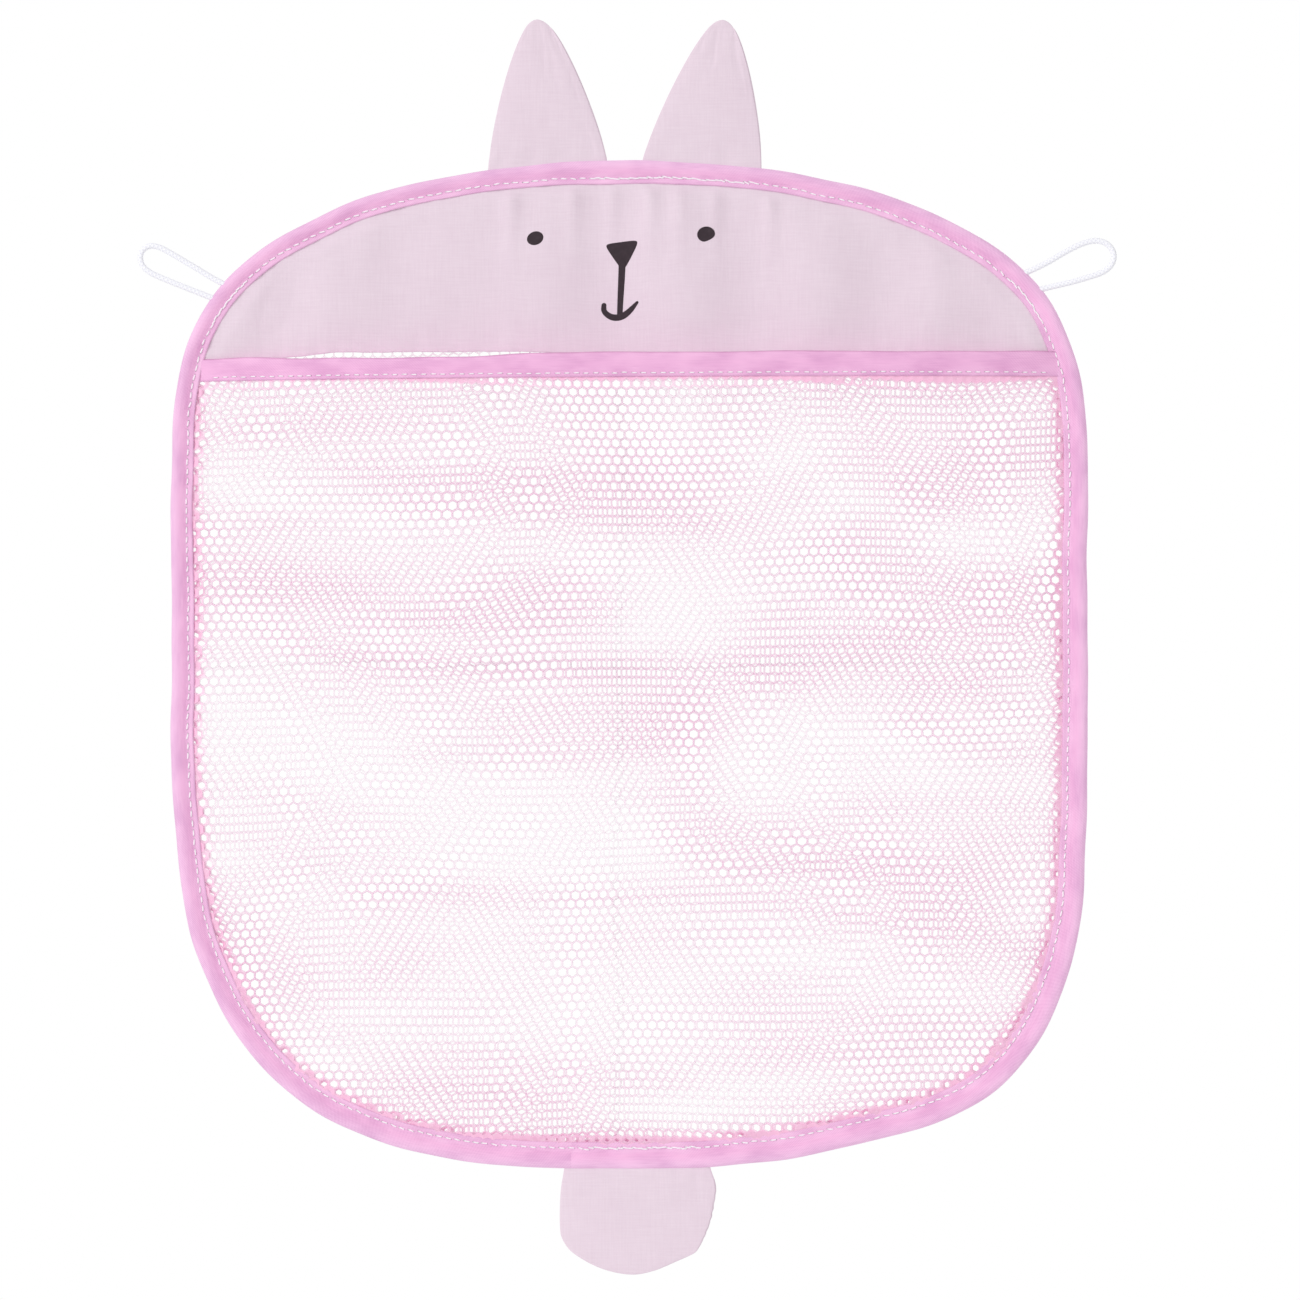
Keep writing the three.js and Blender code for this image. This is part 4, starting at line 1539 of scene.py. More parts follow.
@dataclass(frozen=True)
class PocketMouth:
    """Tape folded over the top of the pocket's net, in two halves that meet at the middle, and stitches."""

    outline: BagOutline
    tape: FoldedTape
    form: PocketForm
    rim_height: float = 48.55
    tilt: float = 1.0
    sag: float = 1.4
    foot_height: float = 39.65
    back_extra: float = -0.1
    press: float = 0.3
    stitch_inset: float = 1.4
    stitch_pitch: float = 3.4
    end_inset: float = 4.0
    step: float = 1.3
    cut: float = 0.02
    dent: float = 0.14
    dent_reach: float = 0.8
    stitch_end: float = 5.0
    lining_gap: float = 0.05

    def top(self, x: Array) -> Array:
        """Height of the rim's fold.

        Args:
            x: places across.

        Returns:
            Heights, lower to the left, where the mouth sags open.
        """
        wave = Ripple(seed=17, height=0.16, shortest=30.0, longest=90.0, spread=0.0).at(x, 0.0)
        sag = self.sag * smooth_step((-x - 10.0) / 70.0) * (1.0 - 0.6 * smooth_step((-x - 110.0) / 30.0))
        return self.outline.shoulder + self.rim_height + self.tilt * x / self.outline.half_width - sag + wave

    def front_drop(self, x: Array) -> Array:
        """Width of the front leaf, whose lower edge is straight and slopes as the fold does."""
        foot = self.outline.shoulder + self.foot_height + self.tilt * x / self.outline.half_width
        return self.top(x) - foot

    def y(self, face: Face, x: Array, drop: Array) -> Array:
        """Outer surface of one leaf of the rim.

        Args:
            face: which leaf.
            x: places across.
            drop: distances down from the fold.

        Returns:
            Places from front to wall: the pocket's middle there, and the folded tape's half depth, which is
            flattened towards the ends under the edge binding and pressed onto the net below the stitches,
            which lie in a dent.
        """
        middle = self.form.y(x, np.full_like(x, self.form.rim_bottom))
        left, right = (self.outline.side_edge(self.top(x), side) for side in Side)
        inside = np.minimum(x - left, right - x)
        full = 0.42 + 0.58 * smooth_step((inside - 7.0) / 14.0)
        from_lip = drop - self.front_drop(x)
        dent = self.dent * bell(from_lip + self.stitch_inset, self.dent_reach)
        pressed = self.press * smooth_step((inside - 14.0) / 14.0) * smooth_step(from_lip / 3.0 + 1.0)
        swells = Ripple(seed=19, height=0.13, shortest=14.0, longest=50.0, spread=20.0).at(x, drop)
        stand = self.tape.half_depth * self.tape.fold(drop) - dent - pressed + swells * 0.5
        return middle + face.value * full * stand

    def span(self, side: Side) -> tuple[float, float]:
        """Ends of one half of the rim across the bag."""
        height = np.array(self.outline.shoulder + self.rim_height)
        end = float(self.outline.side_edge(height, side)) - side.value * self.end_inset
        return (end, 0.0) if side is Side.LEFT else (0.0, end)

    def build(self, side: Side, material: Material) -> Piece:
        """Carry the folded section along one half of the mouth.

        Args:
            side: which half.
            material: the tape.

        Returns:
            The piece, with its inner face a tape's thickness inside its outer face.
        """
        start, end = self.span(side)
        x = np.linspace(start, end, int((end - start) / self.step) + 1)
        x = np.concatenate([x[:1], [start + self.cut], x[1:-1], [end - self.cut], x[-1:]])[:, None]
        front, back = self.tape.shares()
        wide = self.front_drop(x)
        drop = np.hstack([wide * front, (wide + self.back_extra) * back])
        front_y = self.y(Face.FRONT, x, drop[:, : len(front)])
        back_y = self.y(Face.BACK, x, drop[:, len(front) :])
        middle = self.form.y(x, np.full_like(x, self.form.rim_bottom))
        front_y[:, -1:] = middle
        y = np.hstack([front_y, back_y])
        top = self.top(x)
        outer = np.stack([np.broadcast_to(x, y.shape), y, top - drop], axis=-1)
        within = np.where(np.arange(drop.shape[1]) < len(front), 1.0, -1.0) * self.tape.thickness
        ahead = np.minimum(y + within, middle - self.lining_gap)
        behind = np.maximum(y + within, middle + self.lining_gap)
        inner_y = np.where(within > 0, ahead, behind)
        inner = np.stack([outer[..., 0], inner_y, top - np.maximum(drop, self.tape.thickness)], axis=-1)
        points, quads = thicken_strip(outer, inner)
        across = np.concatenate([-front, back * UNDER_SHARE]) * EdgeBinding.front_width
        uv = np.stack([np.broadcast_to(x, y.shape), np.broadcast_to(across, y.shape)], axis=-1).reshape(-1, 2)
        ends = 2 * (outer.shape[1] - 1)
        name = f"pocket_rim_{side.name.lower()}"
        rim = make_piece(name, points, [quads], material, [np.vstack([uv, uv])[quads]], flat_last=ends)
        return rim

    def stitches(self, side: Side, face: Face, material: Material) -> Piece:
        """Stitch line along the lower edge of the rim's front leaf, on one half and one face of it.

        Args:
            side: which half.
            face: which face.
            material: the thread.

        Returns:
            The piece.
        """
        reach = float(np.abs(self.span(side)).max())
        random = np.random.default_rng(41 + side.value)
        x = side.value * np.arange(0.5 * self.stitch_pitch, reach - self.stitch_end, self.stitch_pitch)
        x = x + random.normal(0.0, 0.1, len(x))
        drop = self.front_drop(x) - self.stitch_inset + random.normal(0.0, 0.07, len(x))
        y = self.y(face, x, drop)
        ahead_x = x + 0.5
        rise = self.top(ahead_x) - self.top(x)
        slope = unit(np.stack([ahead_x - x, self.y(face, ahead_x, drop) - y, rise], axis=1))
        away = np.tile([0.0, float(face.value), 0.0], (len(x), 1))
        away -= slope * (away * slope).sum(axis=1, keepdims=True)
        centres = np.stack([x, y, self.top(x) - drop], axis=1)
        name = f"rim_stitches_{side.name.lower()}_{face.name.lower()}"
        return SewnStitches(radius=0.26, length=2.3).build(name, centres, slope, away, material)


@dataclass(frozen=True)
class PaddedFlap:
    """A padded ear or tail: two cloth faces sewn together round the edge, turned and filled with wadding.

    Its faces are grids. Rows go from the bag's seam, at 0, to the flap's end, at 1, and columns from the left
    side, at -1, to the right side, at 1.
    """

    name: str
    joint: str
    length: float
    up: int
    seed: int
    puff: float = 1.35
    base_puff: float = 0.7
    end_power: float = 5.0
    tuck: float = 5.5
    middle: float = SEAM_MIDDLE
    cloth: float = 0.35
    clear: float = 0.2
    groove: float = 0.4
    roll: float = 0.5
    seam_forward: float = 0.65
    rows: int = 46
    columns: int = 45
    bend_reach: float = 3.2
    pressure: float = 4.0
    swell_cap: float = 1.0
    frames: int = 16
    seam_width: float = 3.0
    roundness: float = 0.3
    groove_reach: float = 0.3
    full_width: float = 7.0

    def edge(self, outline: BagOutline, x: Array) -> Array:
        """Height of the bag's edge that the flap comes out of."""
        return outline.crown_edge(x) if self.up > 0 else outline.base_edge(x)

    def across(self, row: Array, column: Array) -> Array:
        """Place across the bag of a point of the grid."""
        raise NotImplementedError

    def end(self, column: Array) -> Array:
        """Share of the flap's length at which each column ends."""
        raise NotImplementedError

    def grid(self) -> tuple[Array, Array]:
        """Lay out the grid of both faces.

        Returns:
            Rows, from inside the bag's seam to the end, and columns, both closest at the sewn edge.
        """
        start = -self.tuck / self.length
        row = start + (1.0 - start) * (1.0 - (1.0 - np.linspace(0.0, 1.0, self.rows)) ** 1.4)
        even = np.linspace(-1.0, 1.0, self.columns)
        return row[:, None], (0.15 * even + 0.85 * np.sin(even * np.pi / 2))[None]

    def surface(self, outline: BagOutline, face: Face) -> Array:
        """Points of one face of the flap, before it is filled.

        Args:
            outline: the bag's edge.
            face: which face.

        Returns:
            Rows of points. At a column c and a row r, the face stands off the sewn edge by the fullness
            times (1 - c^2)^0.3 and (1 - r^n)^0.3. The sewn sides lie in a groove, and the seam of the right
            side lies towards the front, with the back face rolled out past it.
        """
        row, column = self.grid()
        out = np.clip(row, 0.0, 1.0)
        sides = self.across(out, np.array([[-1.0, 1.0]]))
        half = np.diff(sides, axis=1) / 2
        swell = self.base_puff + (self.puff - self.base_puff) * smooth_step(row / 0.3)
        shape = ((1.0 - column**2).clip(0.0) * (1.0 - out**self.end_power)) ** self.roundness
        stand = swell * np.minimum(1.0, half / self.full_width) ** 0.6 * shape
        rolled = smooth_step(column * 4.0 - 3.0)
        roll = self.roll * bell(stand - 0.55, 0.45) * rolled if face is Face.BACK else 0.0
        grooved = np.sign(column) * self.groove * bell(stand, self.groove_reach) * np.abs(column) ** 9
        x = self.across(out, column) + roll - grooved
        start = self.across(np.zeros((1, 1)), column)
        foot = self.edge(outline, start)
        tip = self.edge(outline, start[:, start.shape[1] // 2, None]) + self.up * self.length
        share = np.where(row > 0.0, row * self.end(column), row)
        z = foot + (tip - foot) * share
        dimples = Ripple(seed=self.seed, height=0.16, shortest=9.0, longest=30.0, heading=90.0, spread=50.0)
        pulls = Ripple(seed=self.seed + 50, height=0.3, shortest=5.0, longest=14.0, spread=10.0)
        near_seam = np.exp(-out * self.length / 4.5) * smooth_step(row * self.length / 1.5)
        relief = dimples.at(x, z) * smooth_step(row / 0.15) + pulls.at(x, z) * near_seam
        y = self.middle - self.seam_forward * rolled * out**0.2 + face.value * (stand + relief * shape)
        return np.stack(np.broadcast_arrays(x, y, z), axis=-1)

    def fill(self, front: Array, back: Array) -> tuple[Array, Array]:
        """Swell the two sewn faces with Blender's Cloth under pressure, held in the bag's seam and their own.

        Args:
            front: the front face, as rows by columns by three.
            back: the back face, which shares its sides and its tip with the front.

        Returns:
            Both faces after the simulation. No point goes further than the cap, and the stiff sewn edge
            keeps its shape, with the swelling eased in over the seam's width.
        """
        rows, columns = front.shape[:2]
        points = np.concatenate([front.reshape(-1, 3), back.reshape(-1, 3)])
        one = np.arange(rows * columns).reshape(rows, columns)
        two = one + rows * columns
        two[:, [0, -1]] = one[:, [0, -1]]
        two[-1] = one[-1]
        row, column = grid_corners(rows, columns, False, False)
        faces = np.vstack([one[row, column], two[row, column][:, ::-1]])
        faces = faces if signed_volume(points, [faces]) > 0 else faces[:, ::-1]
        used, corners = np.unique(faces, return_inverse=True)
        mesh = bpy.data.meshes.new("pillow")
        mesh.from_pydata((points[used] * MM).tolist(), [], corners.reshape(-1, 4).tolist())
        pillow = bpy.data.objects.new("pillow", mesh)
        bpy.context.scene.collection.objects.link(pillow)
        held = pillow.vertex_groups.new(name="held")
        in_bag = used % (rows * columns) < columns * self.tucked_rows()
        sewn = np.isin(used, np.concatenate([one[:, 0], one[:, -1], one[-1]]))
        held.add(np.flatnonzero(in_bag | sewn).tolist(), 1.0, "REPLACE")
        cloth = pillow.modifiers.new("cloth", "CLOTH")
        settings = cloth.settings
        settings.quality = 6
        settings.mass = 0.02
        settings.tension_stiffness = 12.0
        settings.compression_stiffness = 12.0
        settings.bending_stiffness = 0.2
        settings.use_pressure = True
        settings.uniform_pressure_force = self.pressure
        settings.vertex_group_mass = held.name
        settings.effector_weights.gravity = 0.0
        cloth.collision_settings.use_collision = False
        scene = bpy.context.scene
        for step in range(1, self.frames + 1):
            scene.frame_set(step)
        result = pillow.evaluated_get(bpy.context.evaluated_depsgraph_get()).data
        moved = np.empty(len(used) * 3, np.float32)
        result.vertices.foreach_get("co", moved)
        scene.frame_set(1)
        bpy.data.objects.remove(pillow)
        bpy.data.meshes.remove(mesh)
        shift = moved.reshape(-1, 3) / MM - points[used]
        far = np.linalg.norm(shift, axis=1, keepdims=True)
        LOG.info("%s swelled by up to %.2f mm", self.name, float(far.max()))
        row, column = self.grid()
        half = np.diff(self.across(np.clip(row, 0.0, 1.0), np.array([[-1.0, 1.0]])), axis=1) / 2
        ease = smooth_step((1.0 - np.abs(column)) * half / self.seam_width)
        ease = np.tile((ease * smooth_step((1.0 - row) * self.length / self.seam_width)).ravel(), 2)[used]
        points[used] += shift * np.minimum(1.0, self.swell_cap / np.maximum(far, 1e-6)) * ease[:, None]
        return points[one], points[two]

    def tucked_rows(self) -> int:
        """How many rows of a face lie inside the bag's seam."""
        return int((self.grid()[0] < 0.0).sum())

    def build(
        self, outline: BagOutline, cloth: Material, fibre: Material
    ) -> tuple[Piece, Piece, Piece]:
        """Make the two cloth faces, swelled by their filling, and the filling.

        Args:
            outline: the bag's edge.
            cloth: the faces' material.
            fibre: the filling's material.

        Returns:
            The front and the back, and the wadding.
        """
        front, back = (self.surface(outline, face) for face in Face)
        front, back = self.fill(front, back)
        halfway = (front + back) / 2
        pairs = zip(Face, (front, back), strict=True)
        faces = [self.face(face, outer, halfway, cloth) for face, outer in pairs]
        return faces[0], faces[1], self.wadding(front, back, fibre)

    def face(self, face: Face, outer: Array, middle: Array, material: Material) -> Piece:
        """One cloth face: its outer surface, and an inner one drawn in towards the middle and the sewn edge.

        Args:
            face: which face.
            outer: its outer surface, as rows by columns by three.
            middle: points half way between the two faces.
            material: the cloth.

        Returns:
            The piece.
        """
        row, _ = self.grid()
        sides = outer[:, [0, -1], :1]
        spine, half = sides.mean(axis=1), np.diff(sides[..., 0], axis=1) / 2
        gap = np.abs(outer[..., 1] - middle[..., 1])
        inner = outer.copy()
        inner[..., 0] = spine + (outer[..., 0] - spine) * (1.0 - self.clear / half)
        inner[..., 1] -= face.value * np.minimum(self.cloth, 0.8 * gap)
        inner[..., 2] -= self.up * self.clear * np.clip(row, 0.0, 1.0) ** 12
        points, quads = thicken_strip(outer, inner)
        name = f"{self.name}_{face.name.lower()}_cloth"
        piece = make_piece(name, points, [quads], material, [points[quads][..., ::2]])
        round_off = piece.modifiers.new("roundness", "SUBSURF")
        round_off.levels = round_off.render_levels = 1
        return piece

    def wadding(self, front: Array, back: Array, material: Material) -> Piece:
        """Make the sheet of wadding that fills the flap clear of its seams and its cloth.

        Args:
            front: the front face's outer surface.
            back: the back face's outer surface.
            material: the fibre.

        Returns:
            The piece.
        """
        row, column = self.grid()
        rows = np.flatnonzero((row > 0.1) & (row < 0.92))
        columns = np.flatnonzero(np.abs(column) < 0.93)
        kept = np.ix_(rows, columns)
        middle, gap = (front + back)[kept] / 2, (back - front)[kept][..., 1] / 2
        thick = np.maximum(gap - self.cloth - self.clear, 0.05)[..., None] * np.array([0.0, 1.0, 0.0])
        rings = np.concatenate([middle - thick, (middle + thick)[:, ::-1]], axis=1)
        around = np.linspace(0.0, self.length, rings.shape[1] + 1)
        pad = make_tube(f"{self.name}_padding", rings, material, row[rows, 0] * self.length, around)
        return pad


@dataclass(frozen=True)
class PaddedEar(PaddedFlap):
    """An ear: broad at the seam, leaning a little, and drawn in to a rounded tip."""

    centre: float = 0.0
    lean: float = 0.0
    width: float = 43.3
    taper: tuple[float, float] = (1.15, 0.62)
    blunt: float = 0.045
    corner: float = 0.93

    def half_width(self, share: Array) -> Array:
        """Half the ear's width: W / 2 times (1 - s^along)^across plus a small round nose, at a share s."""
        along, across = self.taper
        nose = self.blunt * np.sqrt(1.0 - share**30) * share**8
        return self.width / 2 * ((1.0 - share**along) ** across + nose)

    def across(self, row: Array, column: Array) -> Array:
        """Place across, about a middle line that leans evenly."""
        middle = self.centre + self.lean * row * self.end(column)
        return middle + self.half_width(row * self.corner) * column

    def end(self, column: Array) -> Array:
        """Share of the length at which the ear is as wide as the column lies out: the rounded tip."""
        share = np.linspace(self.corner, 1.0, 400)
        width = self.half_width(share)
        return np.interp(np.abs(column) * width[0], width[::-1], share[::-1])


@dataclass(frozen=True)
class PaddedTail(PaddedFlap):
    """The tail: a stubby round flap whose seams were cut unevenly, with soft corners.

    Each side is given as places across at distances from the seam, and the end as distances at places across.
    """

    left_side: Route = ()
    right_side: Route = ()
    foot: Route = ()
    scallop: Ripple = Ripple(seed=87, height=0.13, shortest=2.6, longest=4.4, spread=0.0)

    def side(self, row: Array, points: Route) -> Array:
        """Place across of one side at a share of its length, along a smooth curve through its points."""
        distance, place = catmull_rom(np.array(points), 0.2).T
        return np.interp(row * distance[-1], distance, place)

    def across(self, row: Array, column: Array) -> Array:
        """Place across, in even shares from the left side to the right side, which is slightly scalloped."""
        left = self.side(row, self.left_side)
        scallops = self.scallop.at(row * self.length, 0.0) * row * (1.0 - row) * 4.0
        right = self.side(row, self.right_side) + scallops
        return left + (right - left) * (column + 1.0) / 2

    def end(self, column: Array) -> Array:
        """Share of the length at which each column meets the curve of the end."""
        place, distance = catmull_rom(np.array(self.foot), 0.2).T
        return np.interp(self.across(np.ones((1, 1)), column), place, distance) / self.length


@dataclass(frozen=True)
class CordLoop:
    """A cord loop caught in the edge seam: a braided tube along its route."""

    name: str
    joint: str
    side: Side
    height: float
    route: Route
    diameter: float = 2.1
    middle: float = SEAM_MIDDLE
    plaits: int = 4
    plait_pitch: float = 1.5
    relief: float = 0.09
    sides: int = 24
    step: float = 0.22
    bend_reach: float = 3.0

    def exit(self, outline: BagOutline) -> Array:
        """Point of the bag's edge between the loop's two strands."""
        z = outline.shoulder + self.height
        return np.array([float(outline.side_edge(np.array(z), self.side)), self.middle, z])

    def build(self, outline: BagOutline, material: Material) -> Piece:
        """Carry a braided ring along the route.

        Args:
            outline: the bag's edge.
            material: the cord.

        Returns:
            The piece. Round the cord the radius swells with the larger of cos(n a + b) and cos(n a - b), for n
            plaits at angle a and b turning once a pitch.
        """
        line = catmull_rom(np.array(self.route), self.step)
        exit_point = self.exit(outline)
        x, z = (exit_point[[0, 2]] + line).T
        path = np.stack([x, np.full(len(line), self.middle), z], axis=1)
        ahead = unit(np.gradient(line, axis=0))
        aside = np.stack([-ahead[:, 1], np.zeros(len(line)), ahead[:, 0]], axis=1)
        along = np.arange(len(line)) * self.step
        angle = np.arange(self.sides) * 2 * np.pi / self.sides
        wind = 2 * np.pi * along[:, None] / self.plait_pitch
        crests = np.maximum(np.cos(self.plaits * angle + wind), np.cos(self.plaits * angle - wind))
        radius = self.diameter / 2 + self.relief * (crests - 0.5)
        cos, sin = np.cos(angle)[None, :, None], np.sin(angle)[None, :, None]
        spokes = aside[:, None] * cos + np.array([0.0, 1.0, 0.0]) * sin
        rings = path[:, None] + radius[..., None] * spokes
        around = np.linspace(0.0, math.pi * self.diameter, self.sides + 1)
        loop = make_tube(f"{self.name}_cord", rings, material, along, around)
        return loop


def joint_named(name: str) -> dict:
    """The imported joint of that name."""
    return next(joint for joint in frame["joints"] if joint["name"] == name)


def bend_at_joint(piece: Piece, joint_name: str) -> None:
    """Bake a piece's transform into its mesh; the joint's place, axis and outward side are found but nothing is
    bent.

    Args:
        piece: the piece, which crosses the joint's axis.
        joint_name: the joint.
    """
    joint = joint_named(joint_name)
    place = np.array(joint["pos_m"])
    axis = np.array(joint["axis"])
    outward = np.cross(axis, [0.0, 1.0, 0.0])
    centre = np.array([0.0, place[1], (cad_box[0][2] + cad_box[1][2]) / 2])
    outward *= np.sign(outward @ (place - centre))
    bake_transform(piece)


def dress(piece: Piece, slot: str, *nodes: str, body: str | None = None) -> Piece:
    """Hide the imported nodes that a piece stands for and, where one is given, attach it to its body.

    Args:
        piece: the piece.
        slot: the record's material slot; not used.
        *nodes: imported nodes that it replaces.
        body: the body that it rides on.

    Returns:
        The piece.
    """
    if nodes:
        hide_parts(*nodes)
    if body:
        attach(piece, body)
    LOG.info("%s: %d faces", piece.name, len(piece.data.polygons))
    return piece


@dataclass(frozen=True)
class Studio:
    """Camera, soft light and a pale floor under the hanging bag."""

    frame_width: float = 465.4
    frame_centre: Pair = (7.34, -140.98)
    camera_distance: float = 1800.0
    picture_plane: float = -2.0
    sensor: float = 36.0
    ambient: float = 0.68
    floor_drop: float = 600.0
    floor_radius: float = 950.0
    floor_corners: int = 96

    def camera(self) -> None:
        """Set the camera level with the bag's middle, straight in front of it, on a long lens."""
        data = bpy.data.cameras.new("camera")
        data.sensor_width = self.sensor
        data.lens = self.sensor * self.camera_distance / self.frame_width
        camera = bpy.data.objects.new("camera", data)
        x, z = self.frame_centre
        camera.location = (x * MM, (self.picture_plane - self.camera_distance) * MM, z * MM)
        camera.rotation_euler = (math.pi / 2, 0.0, 0.0)
        bpy.context.scene.collection.objects.link(camera)
        bpy.context.scene.camera = camera

    def lamp(self, name: str, place: tuple[float, float, float], size: float, power: float) -> None:
        """Hang a square soft lamp that faces the bag.

        Args:
            name: its name.
            place: where it hangs, in metres.
            size: its side, in metres.
            power: its power, in watts.
        """
        data = bpy.data.lights.new(name, "AREA")
        data.size = size
        data.energy = power
        lamp = bpy.data.objects.new(name, data)
        aim = np.array([0.0, 0.0, self.frame_centre[1] * MM]) - np.array(place)
        flat = math.hypot(aim[0], aim[1])
        lamp.location = place
        lamp.rotation_euler = (math.atan2(flat, -aim[2]), 0.0, math.atan2(aim[1], aim[0]) - math.pi / 2)
        bpy.context.scene.collection.objects.link(lamp)

    def light(self) -> None:
        """Even white surroundings that show as white, a key lamp from the upper left and weak fills."""
        scene = bpy.context.scene
        scene.view_settings.view_transform = "Standard"
        scene.world = bpy.data.worlds.new("studio")
        graph = Graph(scene.world)
        white = (1.0, 1.0, 1.0, 1.0)
        ambient = graph.add("Background", {"Color": white, "Strength": self.ambient}).outputs[0]
        shown = graph.add("Background", {"Color": white}).outputs[0]
        rays = graph.add("LightPath", {}).outputs
        seen = graph.math("MAXIMUM", rays["Is Camera Ray"], rays["Is Glossy Ray"])
        seen = graph.math("MAXIMUM", seen, rays["Is Transmission Ray"])
        mix = graph.add("MixShader", {0: seen, 1: ambient, 2: shown}).outputs[0]
        graph.add("OutputWorld", {"Surface": mix})
        self.lamp("key", (-3.0, -2.76, 1.3), 2.2, 78.0)
        self.lamp("fill", (1.3, -1.3, 0.1), 1.2, 3.0)
        self.lamp("back_fill", (0.7, 1.5, 0.5), 1.2, 16.0)

    def floor(self) -> None:
        """Lay a round pale floor that keeps the bag's shadow, fades into white and is clear from below."""
        graph = Graph(bpy.data.materials.new("pale_floor"))
        place = graph.place("Object")
        offset = graph.add("VectorMath", {0: place}, operation="LENGTH").outputs["Value"]
        fade = graph.add("MapRange", {0: offset, 1: 0.35, 2: self.floor_radius * MM * 0.98}).outputs[0]
        matt = graph.add("BsdfDiffuse", {"Color": linear((246, 246, 247))}).outputs[0]
        clear = graph.add("BsdfTransparent", {}).outputs[0]
        faded = graph.add("MixShader", {0: fade, 1: matt, 2: clear}).outputs[0]
        under = graph.add("NewGeometry", {}).outputs["Backfacing"]
        surface = graph.add("MixShader", {0: under, 1: faded, 2: clear}).outputs[0]
        graph.add("OutputMaterial", {"Surface": surface})
        corner = np.arange(self.floor_corners)
        angle = corner * 2 * np.pi / self.floor_corners
        ring = self.floor_radius * np.stack([np.cos(angle), np.sin(angle), np.zeros_like(angle)], axis=1)
        floor = make_piece("floor", ring, [corner[None]], graph.owner, closed=False)
        floor.location = (0.0, 0.0, -self.floor_drop * MM)


@dataclass(frozen=True)
class Finishes:
    """The bag's materials."""

    braid: Material
    cloth: Material
    tape: Material
    rim_tape: Material
    yarn: Material
    thread: Material
    ink: Material
    fibre: Material

    @classmethod
    def mixed(cls) -> "Finishes":
        """Mix every material from its colours, given as a screen shows them.

        Returns:
            The materials.
        """
        braid = BraidedCord(
            "braided_cord",
            crest=(251, 251, 255),
            # groove: painted shade where the plaits dive under each other.
            groove=(234, 233, 244),
            plait_pitch=CordLoop.plait_pitch,
            girth=math.pi * CordLoop.diameter,
            plaits=CordLoop.plaits,
        )
        cloth = WovenCloth("woven_cloth", dark=(226, 206, 219), light=(238, 221, 232))
        # The tape's fold, crown, edge and lip colours paint light and shade: lighter at the fold, darker
        # towards the stitches.
        tape = SatinTape(
            "satin_tape",
            fold=(249, 206, 238),
            crown=(249, 198, 233),
            edge=(249, 191, 229),
            lip=(249, 199, 233),
            # under: a paler pink painted to offset the shade past the lip.
            under=(255, 203, 233),
            width=EdgeBinding.front_width,
        )
        # The rim tape's dark fold colour, on a narrow fold share, is a painted shadow line along the rim's top.
        rim_tape = SatinTape(
            "rim_tape",
            fold=(216, 155, 194),
            crown=(248, 193, 230),
            edge=(247, 189, 228),
            lip=(248, 192, 230),
            # under: a paler pink painted to offset the shade past the lip.
            under=(255, 203, 233),
            width=EdgeBinding.front_width,
            fold_share=0.07,
        )
        yarn = NetYarn(
            "net_yarn", thin=(253, 230, 245), bunched=(246, 200, 228), gathered=(253, 198, 227), opacity=0.28
        )
        thread = SewingThread("sewing_thread", light=(255, 248, 254), dark=(251, 234, 246))
        ink = PrintedInk("printed_ink", ink=(54, 43, 49), worn=(80, 68, 75))
        # The wadding's hollow colour is painted shade between the fibres.
        fibre = Wadding("wadding", fibre=(250, 249, 249), hollow_shade=(232, 228, 230))
        finishes = (braid, cloth, tape, rim_tape, yarn, thread, ink, fibre)
        return cls(*(finish.material() for finish in finishes))


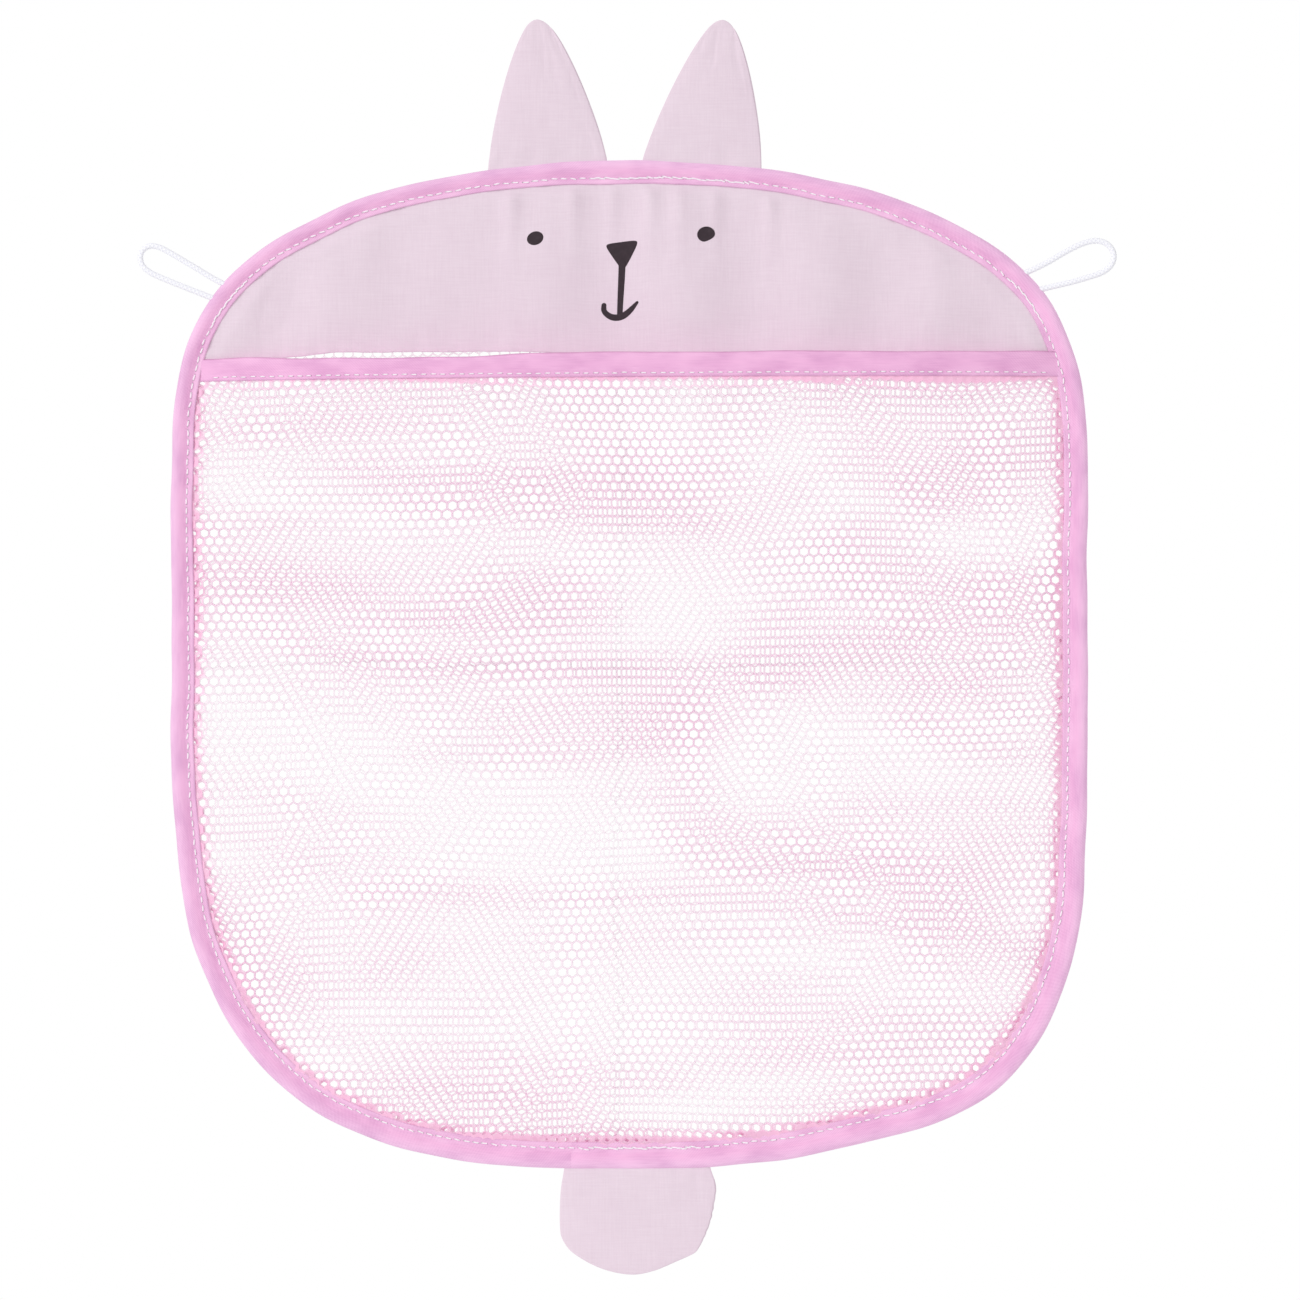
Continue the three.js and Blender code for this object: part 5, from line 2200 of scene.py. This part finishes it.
@dataclass
class Organizer:
    """The whole bag: the steps that sew its sub-assemblies together, in order."""

    outline: BagOutline
    finish: Finishes
    net_inset: float = 4.5
    net_below_rim: float = 2.5
    back_net_y: float = -1.85
    back_net_sag: float = 0.5
    rim_bottom: float = 40.0
    opens_from: float = 8.0
    opened_by: float = 18.0
    binding: EdgeBinding = field(init=False)

    def __post_init__(self) -> None:
        """Lay the binding, which the other pieces are sewn into."""
        folded = FoldedTape(thickness=0.4, half_depth=-SEAM_MIDDLE, fold_reach=3.4)
        self.binding = EdgeBinding(self.outline, folded, SEAM_MIDDLE)

    def hang_loops(self) -> None:
        """Make the two cord loops."""
        left = CordLoop("left_loop", "left_loop_swing", Side.LEFT, 72.0, (
            (4.5, 0.4), (1.1, 2.1), (-2.1, 3.8), (-5.6, 5.9), (-8.7, 7.8), (-11.8, 9.6), (-14.8, 11.4),
            (-17.9, 13.2), (-21.1, 14.8), (-24.1, 15.4), (-26.6, 14.5), (-27.9, 12.5), (-28.0, 10.3),
            (-27.0, 8.0), (-24.7, 6.0), (-21.3, 4.3), (-17.2, 2.6), (-12.5, 0.7), (-7.8, -1.1), (-4.3, -2.5),
            (-0.8, -3.9),
        ))
        right = CordLoop("right_loop", "right_loop_swing", Side.RIGHT, 75.0, (
            (-6.2, 1.2), (-2.1, 3.0), (1.9, 4.8), (5.4, 6.6), (8.3, 8.3), (11.4, 10.1), (15.0, 12.0),
            (18.6, 13.5), (22.0, 14.2), (25.1, 13.8), (27.4, 12.3), (28.7, 10.2), (28.9, 7.9), (28.1, 5.7),
            (26.4, 3.9), (23.6, 2.4), (19.3, 1.0), (14.1, -0.5), (9.0, -1.7), (4.3, -2.8), (0.8, -3.6),
        ))
        for loop in (left, right):
            piece = dress(loop.build(self.outline, self.finish.braid), "braided_cord", loop.name)
            bend_at_joint(piece, loop.joint)

    def sew_binding(self) -> None:
        """Make the tape round the edge and the stitches on both of its leaves."""
        binding = self.binding
        edge = dress(binding.build(self.finish.tape), "satin_tape", "edge_binding", body="bag")
        for face in Face:
            dress(binding.stitches(face, self.finish.thread), "satin_tape", body="bag")

    def sew_face(self) -> None:
        """Make the cloth face and its print."""
        panel = FacePanel(self.outline, self.binding.path)
        dress(panel.build(self.finish.cloth), "woven_cloth", "face_panel", body="bag")
        dress(panel.print_face(self.finish.ink), "woven_cloth", body="bag")

    def back_y(self, x: Array, z: Array) -> Array:
        """Middle of the back net from front to wall.

        Args:
            x: places across.
            z: heights.

        Returns:
            Places close to the wall, which sway forward a little away from the seam and the face.
        """
        hem = self.outline.shoulder + FacePanel.hem_height
        sway = Ripple(seed=63, height=0.5, shortest=45.0, longest=110.0)
        from_seam = smooth_step((self.outline.depth_inside(x, z) - 10.0) / 30.0)
        free = from_seam * smooth_step((hem - 8.0 - z) / 25.0)
        return self.back_net_y - free * (self.back_net_sag + sway.at(x, z))

    def sew_back_net(self) -> None:
        """Make the upper and the lower half of the back net."""
        outline = self.outline
        net = HexNet(
            turn=2.2,
            drift_across=Ripple(seed=61, height=1.5, shortest=80.0, longest=170.0),
            drift_up=Ripple(seed=62, height=1.3, shortest=80.0, longest=170.0),
        )
        place, x, z = net.cells(outline)
        inside = outline.depth_inside(x, z) > self.net_inset
        halves = {"back_net_upper": z >= outline.middle, "back_net_lower": z < outline.middle}
        for name, half in halves.items():
            kept = inside & half
            piece = net.build(name, place[kept], self.binding, self.back_y, self.finish.yarn)
            dress(piece, "net_yarn", "back_net", body="bag")

    def sew_pocket(self) -> None:
        """Make the pocket's net, rim and stitches, in left and right halves."""
        outline, finish = self.outline, self.finish
        form = PocketForm(outline, outline.shoulder + self.rim_bottom)
        folded = FoldedTape(thickness=0.35, half_depth=0.8, fold_reach=1.2, front_columns=15, back_columns=11)
        mouth = PocketMouth(outline, folded, form)
        net = HexNet(
            turn=-0.8,
            upper_seam=outline.shoulder + mouth.foot_height,
            closing=3.2,
            drift_across=Ripple(seed=71, height=1.6, shortest=70.0, longest=150.0),
            drift_up=Ripple(seed=72, height=1.4, shortest=70.0, longest=150.0),
        )
        place, x, z = net.cells(outline)
        inside = (outline.depth_inside(x, z) > self.net_inset) & (z < mouth.top(x) - self.net_below_rim)
        for side in Side:
            kept = inside & ((place[:, 0] >= 0) == (side is Side.RIGHT))
            name = f"pocket_net_{side.name.lower()}"
            front = net.build(name, place[kept], self.binding, form.y, finish.yarn)
            dress(front, "net_yarn", "pocket_net")
            rim = dress(mouth.build(side, finish.rim_tape), "satin_tape", "pocket_rim")
            seams = [dress(mouth.stitches(side, face, finish.thread), "satin_tape") for face in Face]
            for piece in (front, rim, *seams):
                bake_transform(piece)

    def sew_flaps(self) -> None:
        """Make the ears and the tail."""
        left_ear = PaddedEar(
            "left_ear", "left_ear_fold", length=51.6, up=1, seed=81, centre=-29.4, lean=-3.6
        )
        right_ear = PaddedEar(
            "right_ear", "right_ear_fold", length=51.2, up=1, seed=83, centre=25.8, lean=7.4
        )
        tail = PaddedTail(
            "tail",
            "tail_fold",
            length=38.0,
            up=-1,
            seed=85,
            end_power=3.0,
            left_side=((0.0, -23.8), (7.6, -24.95), (16.1, -25.35), (22.8, -25.2)),
            right_side=((0.0, 29.1), (6.3, 31.0), (11.8, 30.5), (18.6, 29.1), (24.5, 26.85), (29.1, 24.6)),
            foot=(
                (-25.2, 22.8), (-24.7, 24.5), (-23.1, 27.2), (-20.6, 30.0), (-13.8, 34.2), (-6.5, 36.9),
                (1.6, 38.0), (9.1, 36.5), (15.9, 33.7), (22.7, 30.7), (24.6, 29.1),
            ),
        )
        parts = (("woven_cloth", "front"), ("woven_cloth", "back"), ("wadding", "wadding"))
        for flap in (left_ear, right_ear, tail):
            pieces = flap.build(self.outline, self.finish.cloth, self.finish.fibre)
            for piece, (slot, part) in zip(pieces, parts, strict=True):
                dress(piece, slot, f"{flap.name}_{part}")
                bend_at_joint(piece, flap.joint)


def main() -> None:
    """Build the bag's sub-assemblies in order."""
    logging.basicConfig(level=logging.INFO, format="%(message)s")
    studio = Studio()
    studio.camera()
    studio.light()
    studio.floor()
    bag = Organizer(BagOutline.from_frame(), Finishes.mixed())
    bag.hang_loops()
    bag.sew_binding()
    bag.sew_face()
    bag.sew_back_net()
    bag.sew_pocket()
    bag.sew_flaps()


if __name__ == "__main__":
    main()
